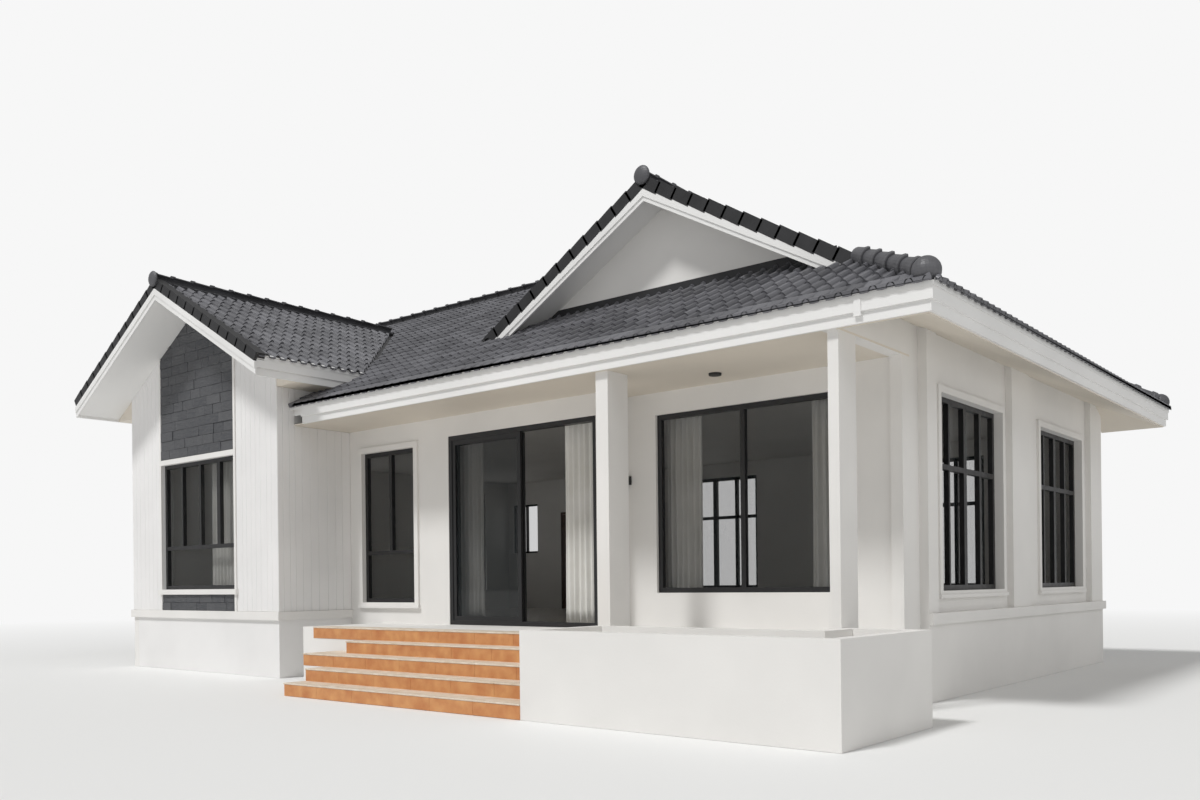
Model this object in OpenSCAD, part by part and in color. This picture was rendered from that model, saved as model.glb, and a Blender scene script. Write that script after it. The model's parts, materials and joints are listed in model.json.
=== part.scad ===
// Single-storey house: a gabled wing, a porch under a hipped roof, steps and a planting trough.
// Plan positions are measured from the front corner column: x to the left is negative,
// y grows toward the back, z is height above the ground. on_plan() centres the result.

/* [House] */
// Width from the west wall face to the east column face
house_w = 12720; // [11800:10:13600]
// Depth from the front of the columns to the back wall face
house_d = 8570; // [8200:10:9200]
// Height of the floor above the ground
floor_h = 750; // [600:10:900]
// Height of the ceiling above the floor
ceiling_h = 2850; // [2700:10:3000]
// Thickness of the outer walls
wall_t = 150; // [150:5:200]
// How far the east wall stands out past the columns
east_step = 100; // [60:5:140]
// Depth of the window bays behind the piers of the east wall
bay_recess = 80; // [40:5:110]

/* [Wing] */
// Width of the gabled wing
wing_w = 4210; // [3900:10:4500]
// How far the wing stands in front of the columns
wing_front = 310; // [200:10:450]
// Eave overhang at the sides of the wing
wing_over = 545; // [450:5:620]
// How far the wing verge stands in front of its wall
wing_verge = 650; // [500:10:800]
// Height of the wing soffit above the ground
wing_soffit_z = 4130; // [4050:10:4250]

/* [Porch] */
// Distance from the columns back to the large window wall
window_wall_y = 1440; // [1350:10:1600]
// Distance from the columns back to the door wall
door_wall_y = 930; // [850:10:1000]
// Right face of the door bay, behind the left column
door_bay_x = -3620; // [-3660:10:-3590]
// Left face of the left column
left_column_x = -2900; // [-2960:10:-2860]
// Width of the left column
column_w = 170; // [150:5:200]
// Width of the corner column
corner_column_w = 110; // [90:5:140]
// Depth of both columns
column_d = 350; // [300:10:400]
// Front edge of the porch floor in front of the columns
porch_edge = 430; // [380:10:480]
// Gap of open ground between the wing and the left end of the porch
porch_gap = 750; // [650:10:850]
// Width of the white margin at the left end of the porch edge
porch_margin = 240; // [200:10:280]
// Height of one riser
riser = 150; // [120:5:180]
// Depth of one tread
tread = 300; // [280:5:330]
// How far the steps reach left of the sliding door
steps_side = 80; // [40:10:160]
// Extra width of the third step
third_step_extra = 480; // [300:10:600]

/* [Planting trough] */
// Left end of the trough, where it meets the steps
trough_left = -2520; // [-2600:10:-2450]
// How far the trough reaches past the corner column
trough_right = 810; // [700:10:900]
// Height of the trough rim
trough_h = 855; // [820:5:920]
// Thickness of the trough walls
trough_t = 120; // [100:5:150]
// Depth of the planting space
trough_depth = 450; // [300:10:600]

/* [Roof] */
// Pitch of every slope in degrees
pitch = 29; // [27:0.5:31]
// Height of the tile edge at the main eaves
eave_z = 3850; // [3830:5:3880]
// Overhang of the main roof past the east columns
east_over = 940; // [850:10:1000]
// Overhang of the tile edge past the columns at the front
front_over = 100; // [80:5:140]
// Overhang at the back
back_over = 530; // [450:10:600]
// Vertical thickness of the main roof
roof_t = 150; // [140:5:160]
// Thickness of the tile layer that reaches over the eave boards
tile_t = 40; // [35:1:50]
// Vertical thickness of the wing roof
wing_roof_t = 250; // [230:5:270]
// Ridge of the front gable
gable_x = -3100; // [-3200:10:-3000]
// Distance of the front gable verge behind the columns
gable_y = 1200; // [1100:10:1300]
// Thickness of the front gable wall
gable_wall_t = 100; // [80:5:120]
// Setback of the front gable wall behind its verge
gable_setback = 450; // [350:10:550]
// Radius of the ridge and hip caps
cap_r = 105; // [90:5:120]

/* [Windows and doors] */
// Height of the window and door heads above the floor
head_h = 2580; // [2500:10:2650]
// Face width of the frames
frame_w = 60; // [50:5:70]
// Depth of the window frames
frame_d = 60; // [50:5:65]
// Depth of the frames behind the face of the front walls
reveal = 40; // [20:5:60]
// Depth of the frames behind the face of the east bays
east_reveal = 80; // [60:5:80]
// Thickness of the glass
glass_t = 10; // [8:1:12]
// Width of the wall between the wing and the sliding door
door_wall_w = 2190; // [2150:10:2250]
// Width of the pier between the sliding door and the porch bay
door_pier_w = 60; // [50:5:80]
// Width of the small window
small_win_w = 1170; // [1100:10:1200]
// Width of the side and back windows
side_win_w = 1950; // [1850:10:2000]
// Width of the white surrounds
trim_w = 80; // [60:5:90]
// How far the surrounds stand out from the wall
trim_d = 30; // [20:2:40]
// Thickness of a sliding leaf
leaf_t = 36; // [32:1:40]
// Gap around the moving leaves
leaf_gap = 10; // [8:1:12]
// Thickness of the back door
back_leaf_t = 40; // [38:1:44]
// Radius of a hinge barrel
hinge_r = 9; // [8:0.5:11]
// Gap between a part and what it rests on
seat_gap = 0.3; // [0.2:0.1:0.4]

/* [Curtains] */
// Depth of the folds of a curtain
fold_d = 90; // [60:5:110]
// Distance of the curtains behind the wall
curtain_back = 60; // [40:5:80]
// Height and depth of the curtain rails
rail_h = 30; // [25:1:40]
// Gap between a curtain and the floor
curtain_lift = 20; // [10:5:40]

/* [Hidden] */

k = tan(pitch);
soffit_z = floor_h + ceiling_h;
head_z = floor_h + head_h;
west_x = -house_w;
wing_east_x = west_x + wing_w;
wing_mid_x = west_x + wing_w / 2;
wing_y = -wing_front;
verge_y = wing_y - wing_verge;
board_t = 30;
soffit_t = 20;
verge_cover_d = 150;
cut_over = 1;

// Positions along the front, from the wing to the corner column
slide_left = wing_east_x + door_wall_w;
slide_right = door_bay_x - door_pier_w;
steps_left = slide_left - steps_side;
porch_left = wing_east_x + porch_gap;
trough_front = -porch_edge - 4 * tread;

// East wall: the bays lie behind the piers, the piers in front of the columns
bay_x = east_step - bay_recess;
east_in = bay_x - wall_t;
porch_pier_end = window_wall_y + 360;
corner_pier_w = 260;
side_win_y = porch_pier_end + corner_pier_w + 260;
pier_gap = 190;
pier_w = 650;
back_pier_w = 590;
side_win_back = 860;
porch_pier = [porch_pier_end - 400, porch_pier_end];
side_win_first = [side_win_y, side_win_y + side_win_w];
side_win_second = [house_d - side_win_back - side_win_w, house_d - side_win_back];
east_piers = [
    [porch_pier_end, porch_pier_end + corner_pier_w],
    [side_win_first[1] + pier_gap, side_win_first[1] + pier_gap + pier_w],
    [house_d - back_pier_w, house_d]
];
ledge_z = [floor_h + 70, floor_h + 190];

// Eave boards: the upper one lies just inside the tile edge and the lower one behind it
upper_in = 10;
lower_in = 35;
edge_set = lower_in + board_t;
lower_h = 100;
bracket_x = 200;
bracket_w = 70;
bracket_d = 40;

// Eave lines of the main roof and the height of its ridge
eave_front = -front_over;
eave_back = house_d + back_over;
eave_west = west_x - wing_over;
roof_half = (eave_back - eave_front) / 2;
ridge_y = (eave_back + eave_front) / 2;
ridge_z = eave_z + roof_half * k;
ridge_east = east_over - roof_half;

// Wing roof: its slopes start at a higher eave and run into the front slope
wing_eave = wing_east_x + wing_over;
wing_half = wing_w / 2 + wing_over;
wing_eave_z = wing_soffit_z + wing_roof_t;
wing_ridge_z = wing_eave_z + wing_half * k;
wing_meet_y = eave_front + (wing_eave_z - eave_z) / k;
wing_ridge_end = wing_meet_y + wing_half;

// Front gable: its right slope is the east slope of the main roof
gable_run = east_over - gable_x;
gable_top_y = eave_front + gable_run;
gable_z = eave_z + gable_run * k;
gable_in = gable_y - eave_front;
gable_wall_y = gable_y + gable_setback;
gable_wall_in = gable_wall_y - eave_front;
gable_left = gable_x - (gable_run - gable_in);
gable_right = east_over - gable_in;

// Overall box, used to centre the house
box_west = eave_west - board_t;
box_east = east_over + cap_r;
box_front = -porch_edge - 4 * tread;
box_back = eave_back + cap_r;
mid_x = (box_west + box_east) / 2;
mid_y = (box_front + box_back) / 2;

// Window positions
wing_win = [west_x + 980, wing_east_x - 1100];
wing_sill = floor_h + 520;
wing_head = head_z - 70;
small_win = [wing_east_x + 320, wing_east_x + 320 + small_win_w];
small_sill = floor_h + 300;
small_head = head_z - 80;
porch_win = [door_bay_x + 460, -750];
low_sill = floor_h + 420;
back_win_side = 4820;
back_win_east = 1650;
back_win_first = [west_x + back_win_side, west_x + back_win_side + side_win_w];
back_win_second = [-back_win_east - side_win_w, -back_win_east];
back_small_win = [west_x + 300, west_x + 1070];
back_small_sill = floor_h + 1250;
back_small_head = floor_h + 2350;
back_door_w = 900;
back_door_h = 2120;
back_door_span = [west_x + 1770, west_x + 1770 + back_door_w];
back_door_head = floor_h + back_door_h;
back_step_d = 100;
back_step_side = 150;

// Bars of the windows
thin_bar = 40;
mid_bar = 60;
thick_bar = 90;
transom_share = 0.33;
rail_share = 0.64;

module on_plan() {
    translate([-mid_x, -mid_y, 0]) children();
}

// A box between two positions on each axis
module block(x, y, z) {
    translate([x[0], y[0], z[0]]) cube([x[1] - x[0], y[1] - y[0], z[1] - z[0]]);
}

// A layer under a sloping plane that rises in the given direction from an eave line
module pitched_layer(direction, edge, top, thick) {
    run = 12000;
    back = 400;
    rotate([0, 0, direction]) translate([edge, 0, 0]) rotate([90, 0, 0])
        linear_extrude(50000, center = true) polygon([
            [-back, top - back * k],
            [run, top + run * k],
            [run, top + run * k - thick],
            [-back, top - back * k - thick]
        ]);
}

module over_plan(points) {
    linear_extrude(9000) polygon(points);
}

module roof_piece(direction, edge, top, thick, points) {
    intersection() {
        pitched_layer(direction, edge, top, thick);
        over_plan(points);
    }
}

// A slope whose tile layer reaches past its thicker body at the eave
module eave_slope(direction, edge, top, thick, points) {
    difference() {
        roof_piece(direction, edge, top, thick, points);
        intersection() {
            pitched_layer(direction, edge, top - tile_t, thick);
            rotate([0, 0, direction]) translate([edge - 1, -25000, 0])
                cube([edge_set + 1, 50000, 9000]);
        }
    }
}

// Everything under the front slope plane, over part of the plan
module under_front_slope(points) {
    roof_piece(90, eave_front, eave_z, 3000, points);
}

// A rectangular frame with bars, lying in the x-z plane; the uprights start at the foot height
module frame_panel(w, h, depth, face, uprights = [], rails = [], foot = 0) {
    difference() {
        cube([w, depth, h]);
        translate([face, -cut_over, face]) cube([w - 2 * face, depth + 2 * cut_over, h - 2 * face]);
    }
    for (u = uprights) translate([u[0] - u[1] / 2, 0, max(foot, face)])
        cube([u[1], depth, h - face - max(foot, face)]);
    for (r = rails) translate([face, 0, r - face / 2]) cube([w - 2 * face, depth, face]);
}

// The four-light frame of the side and back windows
module four_lights(w) {
    h = head_z - low_sill;
    frame_panel(w, h, frame_d, frame_w,
        [[w / 4, thin_bar], [w / 2, thick_bar], [w * 3 / 4, mid_bar]], [h * rail_share]);
}

module side_frame(span) {
    translate([0, span[0], low_sill]) rotate([0, 0, 90]) four_lights(span[1] - span[0]);
}

module west_wall() {
    attic_z = wing_soffit_z + wing_over * k;
    under = eave_z - roof_t - seat_gap;
    step_y = wing_meet_y + wing_over + wall_t;
    color("white") on_plan() difference() {
        translate([west_x, 0, 0]) rotate([90, 0, 90]) linear_extrude(wall_t) polygon([
            [wing_y, 0],
            [house_d, 0],
            [house_d, under + back_over * k],
            [ridge_y, under + roof_half * k],
            [step_y, attic_z + wing_roof_t - roof_t + wall_t * k],
            [step_y, attic_z],
            [wing_y, attic_z]
        ]);
        for (span = [side_win_first, side_win_second])
            block([west_x - cut_over, west_x + wall_t + cut_over], span, [low_sill, head_z]);
    }
}

module back_wall() {
    through = [house_d - wall_t - cut_over, house_d + cut_over];
    color("white") on_plan() difference() {
        block([west_x + wall_t, east_in], [house_d - wall_t, house_d],
            [0, eave_z - roof_t + back_over * k - seat_gap]);
        for (span = [back_win_first, back_win_second]) block(span, through, [low_sill, head_z]);
        block(back_small_win, through, [back_small_sill, back_small_head]);
        block(back_door_span, through, [floor_h, back_door_head]);
    }
}

// The east wall stops under the lower of the east and back slopes
module east_wall() {
    top = eave_z - roof_t + (east_over - bay_x) * k - seat_gap;
    color("white") on_plan() difference() {
        union() {
            intersection() {
                block([east_in, bay_x], [porch_pier[1], house_d], [0, top]);
                pitched_layer(-90, -eave_back, eave_z - roof_t - seat_gap, ridge_z);
            }
            block([east_in, 0], porch_pier, [0, soffit_z]);
            for (pier = east_piers) block([east_in, east_step], pier, [0, soffit_z]);
            block([east_in, east_step], [porch_pier[1], house_d], [0, ledge_z[1]]);
        }
        for (span = [side_win_first, side_win_second])
            block([east_in - cut_over, east_step + cut_over], span, [low_sill, head_z]);
    }
}

module window_wall() {
    color("white") on_plan() difference() {
        block([door_bay_x, east_in], [window_wall_y, window_wall_y + wall_t], [0, soffit_z]);
        block(porch_win, [window_wall_y - cut_over, window_wall_y + wall_t + cut_over],
            [low_sill, head_z]);
    }
}

module door_wall_left() {
    color("white") on_plan() difference() {
        block([wing_east_x, slide_left], [door_wall_y, door_wall_y + wall_t], [0, soffit_z]);
        block(small_win, [door_wall_y - cut_over, door_wall_y + wall_t + cut_over],
            [small_sill, small_head]);
    }
}

module door_wall_right() {
    color("white") on_plan() {
        block([slide_right, door_bay_x], [door_wall_y, door_wall_y + wall_t], [0, soffit_z]);
        block([door_bay_x - wall_t, door_bay_x], [door_wall_y + wall_t, window_wall_y + wall_t],
            [0, soffit_z]);
    }
}

module door_wall_top() {
    color("white") on_plan() {
        block([slide_left, slide_right], [door_wall_y, door_wall_y + wall_t], [head_z, soffit_z]);
    }
}

module wing_front_wall() {
    under = wing_soffit_z - seat_gap;
    color("white") on_plan() difference() {
        translate([0, wing_y + wall_t, 0]) rotate([90, 0, 0]) linear_extrude(wall_t) polygon([
            [west_x + wall_t, 0],
            [wing_east_x, 0],
            [wing_east_x, under + wing_over * k],
            [wing_mid_x, under + wing_half * k],
            [west_x + wall_t, under + (wing_over + wall_t) * k]
        ]);
        block(wing_win, [wing_y - cut_over, wing_y + wall_t + cut_over], [wing_sill, wing_head]);
    }
}

module wing_side_wall() {
    color("white") on_plan() {
        block([wing_east_x - wall_t, wing_east_x], [wing_y + wall_t, door_wall_y + wall_t],
            [0, wing_soffit_z + wing_over * k]);
    }
}

module floor_slab() {
    thick = 150;
    color("gainsboro") on_plan() translate([0, 0, floor_h - thick]) linear_extrude(thick) polygon([
        [west_x + wall_t, wing_y + wall_t],
        [wing_east_x - wall_t, wing_y + wall_t],
        [wing_east_x - wall_t, door_wall_y + wall_t],
        [slide_left, door_wall_y + wall_t],
        [slide_left, door_wall_y],
        [slide_right, door_wall_y],
        [slide_right, door_wall_y + wall_t],
        [door_bay_x - wall_t, door_wall_y + wall_t],
        [door_bay_x - wall_t, window_wall_y + wall_t],
        [east_in, window_wall_y + wall_t],
        [east_in, house_d - wall_t],
        [west_x + wall_t, house_d - wall_t]
    ]);
}

module porch_slab() {
    color("white") on_plan() difference() {
        linear_extrude(floor_h) polygon([
            [porch_left, -porch_edge],
            [0, -porch_edge],
            [0, porch_pier[0]],
            [east_in, porch_pier[0]],
            [east_in, window_wall_y],
            [door_bay_x, window_wall_y],
            [door_bay_x, door_wall_y],
            [porch_left, door_wall_y]
        ]);
        porch_edge_block(cut_over);
    }
}

// The tiled edge of the porch floor, above the fourth step
module porch_edge_block(over) {
    block([porch_left + porch_margin, trough_left], [-porch_edge - over, -porch_edge + tread],
        [floor_h - riser, floor_h + over]);
}

module porch_edge() {
    color("peru") on_plan() porch_edge_block(0);
}

// One step, counted from the ground; its left end can reach further than the others
module step(n, left) {
    on_plan() block([left, trough_left], [-porch_edge - (5 - n) * tread, -porch_edge],
        [(n - 1) * riser, n * riser]);
}

module step_first() {
    color("peru") step(1, steps_left);
}

module step_second() {
    color("peru") step(2, steps_left);
}

module step_third() {
    color("peru") step(3, steps_left - third_step_extra);
}

module step_fourth() {
    color("peru") step(4, steps_left);
}

module planting_trough() {
    back = -porch_edge;
    side_back = 100;
    rim = [trough_h - trough_depth, trough_h + cut_over];
    color("white") on_plan() difference() {
        union() {
            block([trough_left, trough_right], [trough_front, back], [0, trough_h]);
            block([0, trough_right], [back - cut_over, side_back], [0, trough_h]);
        }
        block([trough_left + trough_t, trough_right - trough_t],
            [trough_front + trough_t, back - trough_t], rim);
        block([trough_t, trough_right - trough_t],
            [back - trough_t - cut_over, side_back - trough_t], rim);
    }
}

module plinth_ledge() {
    out = 40;
    color("white") on_plan() {
        block([west_x - out, wing_east_x + out], [wing_y - out, wing_y], ledge_z);
        block([wing_east_x, wing_east_x + out], [wing_y, door_wall_y], ledge_z);
        block([west_x - out, west_x], [wing_y, house_d + out], ledge_z);
        block([east_step, east_step + out], [porch_pier[1], house_d + out], ledge_z);
    }
}

module left_column() {
    color("white") on_plan()
        block([left_column_x, left_column_x + column_w], [0, column_d], [floor_h, soffit_z]);
}

module corner_column() {
    color("white") on_plan()
        block([-corner_column_w, 0], [0, column_d], [floor_h, soffit_z]);
}

module eave_soffit() {
    color("wheat") on_plan() translate([0, 0, soffit_z]) linear_extrude(soffit_t) polygon([
        [wing_east_x, eave_front + edge_set],
        [east_over - edge_set, eave_front + edge_set],
        [east_over - edge_set, eave_back - edge_set],
        [west_x, eave_back - edge_set],
        [west_x, house_d],
        [bay_x, house_d],
        [bay_x, window_wall_y + wall_t],
        [east_in, window_wall_y + wall_t],
        [door_bay_x - wall_t, window_wall_y + wall_t],
        [door_bay_x - wall_t, door_wall_y + wall_t],
        [wing_east_x, door_wall_y + wall_t]
    ]);
}

module room_ceiling() {
    color("white") on_plan() translate([0, 0, soffit_z]) linear_extrude(soffit_t) polygon([
        [west_x + wall_t, wing_y + wall_t],
        [wing_east_x - wall_t, wing_y + wall_t],
        [wing_east_x - wall_t, door_wall_y + wall_t],
        [door_bay_x - wall_t, door_wall_y + wall_t],
        [door_bay_x - wall_t, window_wall_y + wall_t],
        [east_in, window_wall_y + wall_t],
        [east_in, house_d - wall_t],
        [west_x + wall_t, house_d - wall_t]
    ]);
}

module front_slope() {
    color("dimgray") on_plan() eave_slope(90, eave_front, eave_z, roof_t, [
        [east_over, eave_front],
        [east_over - gable_wall_in, gable_wall_y],
        [gable_x - (gable_run - gable_wall_in), gable_wall_y],
        [gable_x, gable_top_y],
        [ridge_east, ridge_y],
        [eave_west, ridge_y],
        [eave_west, wing_meet_y],
        [wing_mid_x, wing_ridge_end],
        [wing_east_x, wing_meet_y + wing_over],
        [wing_east_x, eave_front]
    ]);
}

module east_slope() {
    color("dimgray") on_plan() difference() {
        eave_slope(180, -east_over, eave_z, roof_t, [
            [east_over, eave_front],
            [east_over, eave_back],
            [ridge_east, ridge_y],
            [gable_x, gable_top_y],
            [gable_x, gable_y],
            [gable_right, gable_y]
        ]);
        under_front_slope([
            [gable_right, gable_y],
            [east_over - gable_wall_in, gable_wall_y],
            [gable_x - 100, gable_wall_y],
            [gable_x - 100, gable_y - 1],
            [gable_right, gable_y - 1]
        ]);
    }
}

module back_slope() {
    color("dimgray") on_plan() eave_slope(-90, -eave_back, eave_z, roof_t, [
        [east_over, eave_back],
        [ridge_east, ridge_y],
        [eave_west, ridge_y],
        [eave_west, eave_back]
    ]);
}

module front_gable_slope() {
    color("dimgray") on_plan() difference() {
        roof_piece(0, gable_x - gable_run, eave_z, roof_t, [
            [gable_x, gable_y],
            [gable_x, gable_top_y],
            [gable_left, gable_y]
        ]);
        under_front_slope([
            [gable_left - 1, gable_y - 1],
            [gable_x + 1, gable_y - 1],
            [gable_x + 1, gable_wall_y],
            [gable_left - 1, gable_wall_y]
        ]);
    }
}

module wing_east_slope() {
    color("dimgray") on_plan() difference() {
        eave_slope(180, -wing_eave, wing_eave_z, wing_roof_t, [
            [wing_eave, verge_y],
            [wing_eave, wing_meet_y],
            [wing_mid_x, wing_ridge_end],
            [wing_mid_x, verge_y]
        ]);
        under_front_slope([
            [wing_east_x, eave_front],
            [wing_eave + 1, eave_front],
            [wing_eave + 1, wing_meet_y + 1],
            [wing_east_x, wing_meet_y + wing_over + 1]
        ]);
    }
}

module wing_west_slope() {
    color("dimgray") on_plan() eave_slope(0, eave_west, wing_eave_z, wing_roof_t, [
        [eave_west, verge_y],
        [wing_mid_x, verge_y],
        [wing_mid_x, wing_ridge_end],
        [eave_west, wing_meet_y]
    ]);
}

// A round cap from one point to another; the roofs are taken away from it later
module cap(from, to) {
    d = to - from;
    flat = norm([d[0], d[1]]);
    translate(from) rotate([0, 0, atan2(d[1], d[0])]) rotate([0, -atan2(d[2], flat), 0])
        rotate([90, 0, 90]) linear_extrude(norm(d)) circle(cap_r, $fn = 32);
}

function on_hip(s, side) = [east_over - s, side > 0 ? eave_front + s : eave_back - s, eave_z + s * k];

// The rounded end of a hip cap at a corner of the eaves
module cap_end(side) {
    translate(on_hip(0, side)) rotate([0, 0, -45 * side]) rotate([0, atan2(k, sqrt(2)), 0])
        intersection() {
            sphere(cap_r, $fn = 32);
            translate([0, -cap_r, -cap_r]) cube(2 * cap_r);
        }
}

// The rounded joint where caps meet at a point of the ridges
module cap_joint(at) {
    translate(at) sphere(cap_r + 8, $fn = 32);
}

// Everything under the slopes of the three roofs, which the caps are fitted over
module under_roofs() {
    deep = 9000;
    high = 2 * ridge_z;
    intersection() {
        pitched_layer(90, eave_front, eave_z, deep);
        pitched_layer(-90, -eave_back, eave_z, deep);
        block([eave_west - cap_r, ridge_east], [eave_front, eave_back], [0, high]);
    }
    intersection() {
        pitched_layer(90, eave_front, eave_z, deep);
        pitched_layer(-90, -eave_back, eave_z, deep);
        pitched_layer(180, -east_over, eave_z, deep);
    }
    intersection() {
        pitched_layer(180, -east_over, eave_z, deep);
        pitched_layer(0, gable_x - gable_run, eave_z, deep);
        block([gable_left, gable_right], [gable_y, gable_top_y], [0, high]);
    }
    intersection() {
        pitched_layer(180, -wing_eave, wing_eave_z, deep);
        pitched_layer(0, eave_west, wing_eave_z, deep);
        block([eave_west, wing_eave], [verge_y, wing_ridge_end], [0, high]);
    }
}

module ridge_caps() {
    apex = [ridge_east, ridge_y, ridge_z];
    gable_top = [gable_x, gable_top_y, gable_z];
    color("dimgray") on_plan() difference() {
        union() {
            cap([eave_west, ridge_y, ridge_z], apex);
            cap(on_hip(0, 1), on_hip(gable_in, 1));
            cap(on_hip(gable_run, 1), apex);
            cap(on_hip(0, -1), apex);
            cap([gable_x, gable_y + verge_cover_d, gable_z], gable_top);
            cap([wing_mid_x, verge_y + verge_cover_d, wing_ridge_z],
                [wing_mid_x, wing_ridge_end + cap_r, wing_ridge_z]);
            for (side = [1, -1]) cap_end(side);
            cap_joint(apex);
            cap_joint(gable_top);
        }
        under_roofs();
        block([gable_left, east_over], [gable_y - board_t - seat_gap, gable_y + verge_cover_d],
            [eave_z, gable_z]);
    }
}

// A board that runs round the main eaves, set in from the tile edge
module eave_ring(inset, left, low, high) {
    difference() {
        block([left, east_over - inset], [eave_front + inset, eave_back - inset], [low, high]);
        block([left - 1, east_over - edge_set], [eave_front + edge_set, eave_back - edge_set],
            [low - 1, high + 1]);
    }
}

module main_fascia() {
    left = wing_east_x + 250;
    top = eave_z - tile_t + upper_in * k;
    color("white") on_plan() {
        eave_ring(upper_in, left, soffit_z + lower_h, top);
        eave_ring(lower_in, left, soffit_z, soffit_z + lower_h);
        block([west_x, left], [eave_back - edge_set, eave_back - upper_in],
            [soffit_z + lower_h, top]);
        block([west_x, left], [eave_back - edge_set, eave_back - lower_in],
            [soffit_z, soffit_z + lower_h]);
        block([bracket_x, bracket_x + bracket_w], [eave_front, eave_front + upper_in],
            [soffit_z + lower_h - bracket_d, eave_z - tile_t - seat_gap]);
        block([bracket_x, bracket_x + bracket_w], [eave_front, eave_front + lower_in],
            [soffit_z + lower_h - bracket_d, soffit_z + lower_h]);
    }
}

// Flat boards under the side eaves of the wing, with a closing board in the front wall's plane
module wing_soffit() {
    face = [[wing_east_x, wing_eave - edge_set], [eave_west + edge_set, west_x]];
    color("wheat") on_plan() difference() {
        for (x = face) block(x, [wing_y, wing_meet_y], [wing_soffit_z, wing_soffit_z + soffit_t]);
        under_front_slope([
            [wing_east_x - 1, eave_front],
            [wing_eave + 1, eave_front],
            [wing_eave + 1, wing_meet_y + 1],
            [wing_east_x - 1, wing_meet_y + 1]
        ]);
    }
    color("wheat") on_plan() translate([wing_mid_x, wing_y + soffit_t, 0]) rotate([90, 0, 0])
        for (side = [1, -1]) scale([side, 1, 1]) linear_extrude(soffit_t) polygon([
            [wing_w / 2, wing_soffit_z + soffit_t],
            [wing_half - edge_set, wing_soffit_z + soffit_t],
            [wing_half - edge_set, wing_soffit_z + edge_set * k - seat_gap],
            [wing_w / 2, wing_soffit_z + wing_over * k - seat_gap]
        ]);
}

module wing_fascia() {
    top = wing_eave_z - tile_t + upper_in * k;
    side = [verge_y, wing_meet_y];
    low = wing_soffit_z + lower_h;
    color("white") on_plan() {
        difference() {
            union() {
                block([wing_eave - edge_set, wing_eave - upper_in], side, [low, top]);
                block([wing_eave - edge_set, wing_eave - lower_in], side, [wing_soffit_z, low]);
            }
            under_front_slope([
                [wing_east_x, eave_front],
                [wing_eave + 1, eave_front],
                [wing_eave + 1, wing_meet_y + 1],
                [wing_east_x, wing_meet_y + 1]
            ]);
        }
        block([eave_west + upper_in, eave_west + edge_set], side, [wing_soffit_z, top]);
    }
}

// A pair of sloping boards under a gable verge, meeting at the ridge
module gable_boards(half, foot_z, height) {
    rotate([90, 0, 0]) linear_extrude(board_t) polygon([
        [-half, foot_z],
        [0, foot_z + half * k],
        [half, foot_z],
        [half, foot_z + height],
        [0, foot_z + half * k + height],
        [-half, foot_z + height]
    ]);
}

front_board_h = 240;
wing_board_h = 170;
west_board = [220, 20];
cover_h = 60;
front_gable_strip = [
    [gable_left - gable_in, gable_y - gable_setback],
    [east_over, gable_y - gable_setback],
    [east_over, gable_y + gable_setback],
    [gable_left - gable_in, gable_y + gable_setback]
];

module front_gable_boards() {
    half = gable_run - gable_in;
    color("white") on_plan() difference() {
        translate([gable_x, gable_y, 0])
            gable_boards(half, eave_z + gable_in * k - front_board_h, front_board_h);
        translate([0, 0, seat_gap]) under_front_slope(front_gable_strip);
    }
}

module wing_gable_boards() {
    color("white") on_plan() translate([wing_mid_x, verge_y, 0])
        gable_boards(wing_half, wing_soffit_z, wing_board_h);
}

module west_gable_boards() {
    color("white") on_plan() translate([eave_west, 0, 0]) rotate([90, 0, -90])
        linear_extrude(board_t) polygon([
            [-eave_back, eave_z - west_board[0]],
            [-ridge_y, ridge_z - west_board[0]],
            [-wing_meet_y, wing_eave_z - west_board[0]],
            [-wing_meet_y, wing_eave_z - west_board[1]],
            [-ridge_y, ridge_z - west_board[1]],
            [-eave_back, eave_z - west_board[1]]
        ]);
}

// Covers over the edge of the tiles at a gable verge
module verge_cover(half, foot_z) {
    rotate([90, 0, 0]) linear_extrude(verge_cover_d + board_t) polygon([
        [-half, foot_z],
        [0, foot_z + half * k],
        [half, foot_z],
        [half, foot_z + cover_h],
        [0, foot_z + half * k + cover_h],
        [-half, foot_z + cover_h]
    ]);
}

module verge_covers() {
    half = gable_run - gable_in;
    color("dimgray") on_plan() {
        difference() {
            translate([gable_x, gable_y + verge_cover_d, seat_gap])
                verge_cover(half, eave_z + gable_in * k);
            translate([0, 0, seat_gap]) under_front_slope(front_gable_strip);
        }
        translate([wing_mid_x, verge_y + verge_cover_d, seat_gap])
            verge_cover(wing_half, wing_eave_z);
    }
}

module front_gable_wall() {
    half = gable_run - gable_wall_in;
    foot_z = eave_z + gable_wall_in * k - roof_t - seat_gap;
    color("white") on_plan() translate([gable_x, gable_wall_y + gable_wall_t, 0])
        rotate([90, 0, 0]) linear_extrude(gable_wall_t) polygon([
            [-half, foot_z],
            [0, foot_z + half * k],
            [half, foot_z]
        ]);
}

module slate_panels() {
    slate_d = 20;
    under = wing_soffit_z - seat_gap;
    color("slategray") on_plan() {
        translate([0, wing_y, 0]) rotate([90, 0, 0]) linear_extrude(slate_d) polygon([
            [wing_win[0], wing_head + trim_w],
            [wing_win[1], wing_head + trim_w],
            [wing_win[1], under + (wing_eave - wing_win[1]) * k],
            [wing_mid_x, under + wing_half * k],
            [wing_win[0], under + (wing_win[0] - eave_west) * k]
        ]);
        block(wing_win, [wing_y - slate_d, wing_y], [ledge_z[1], wing_sill - trim_w]);
    }
}

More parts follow.
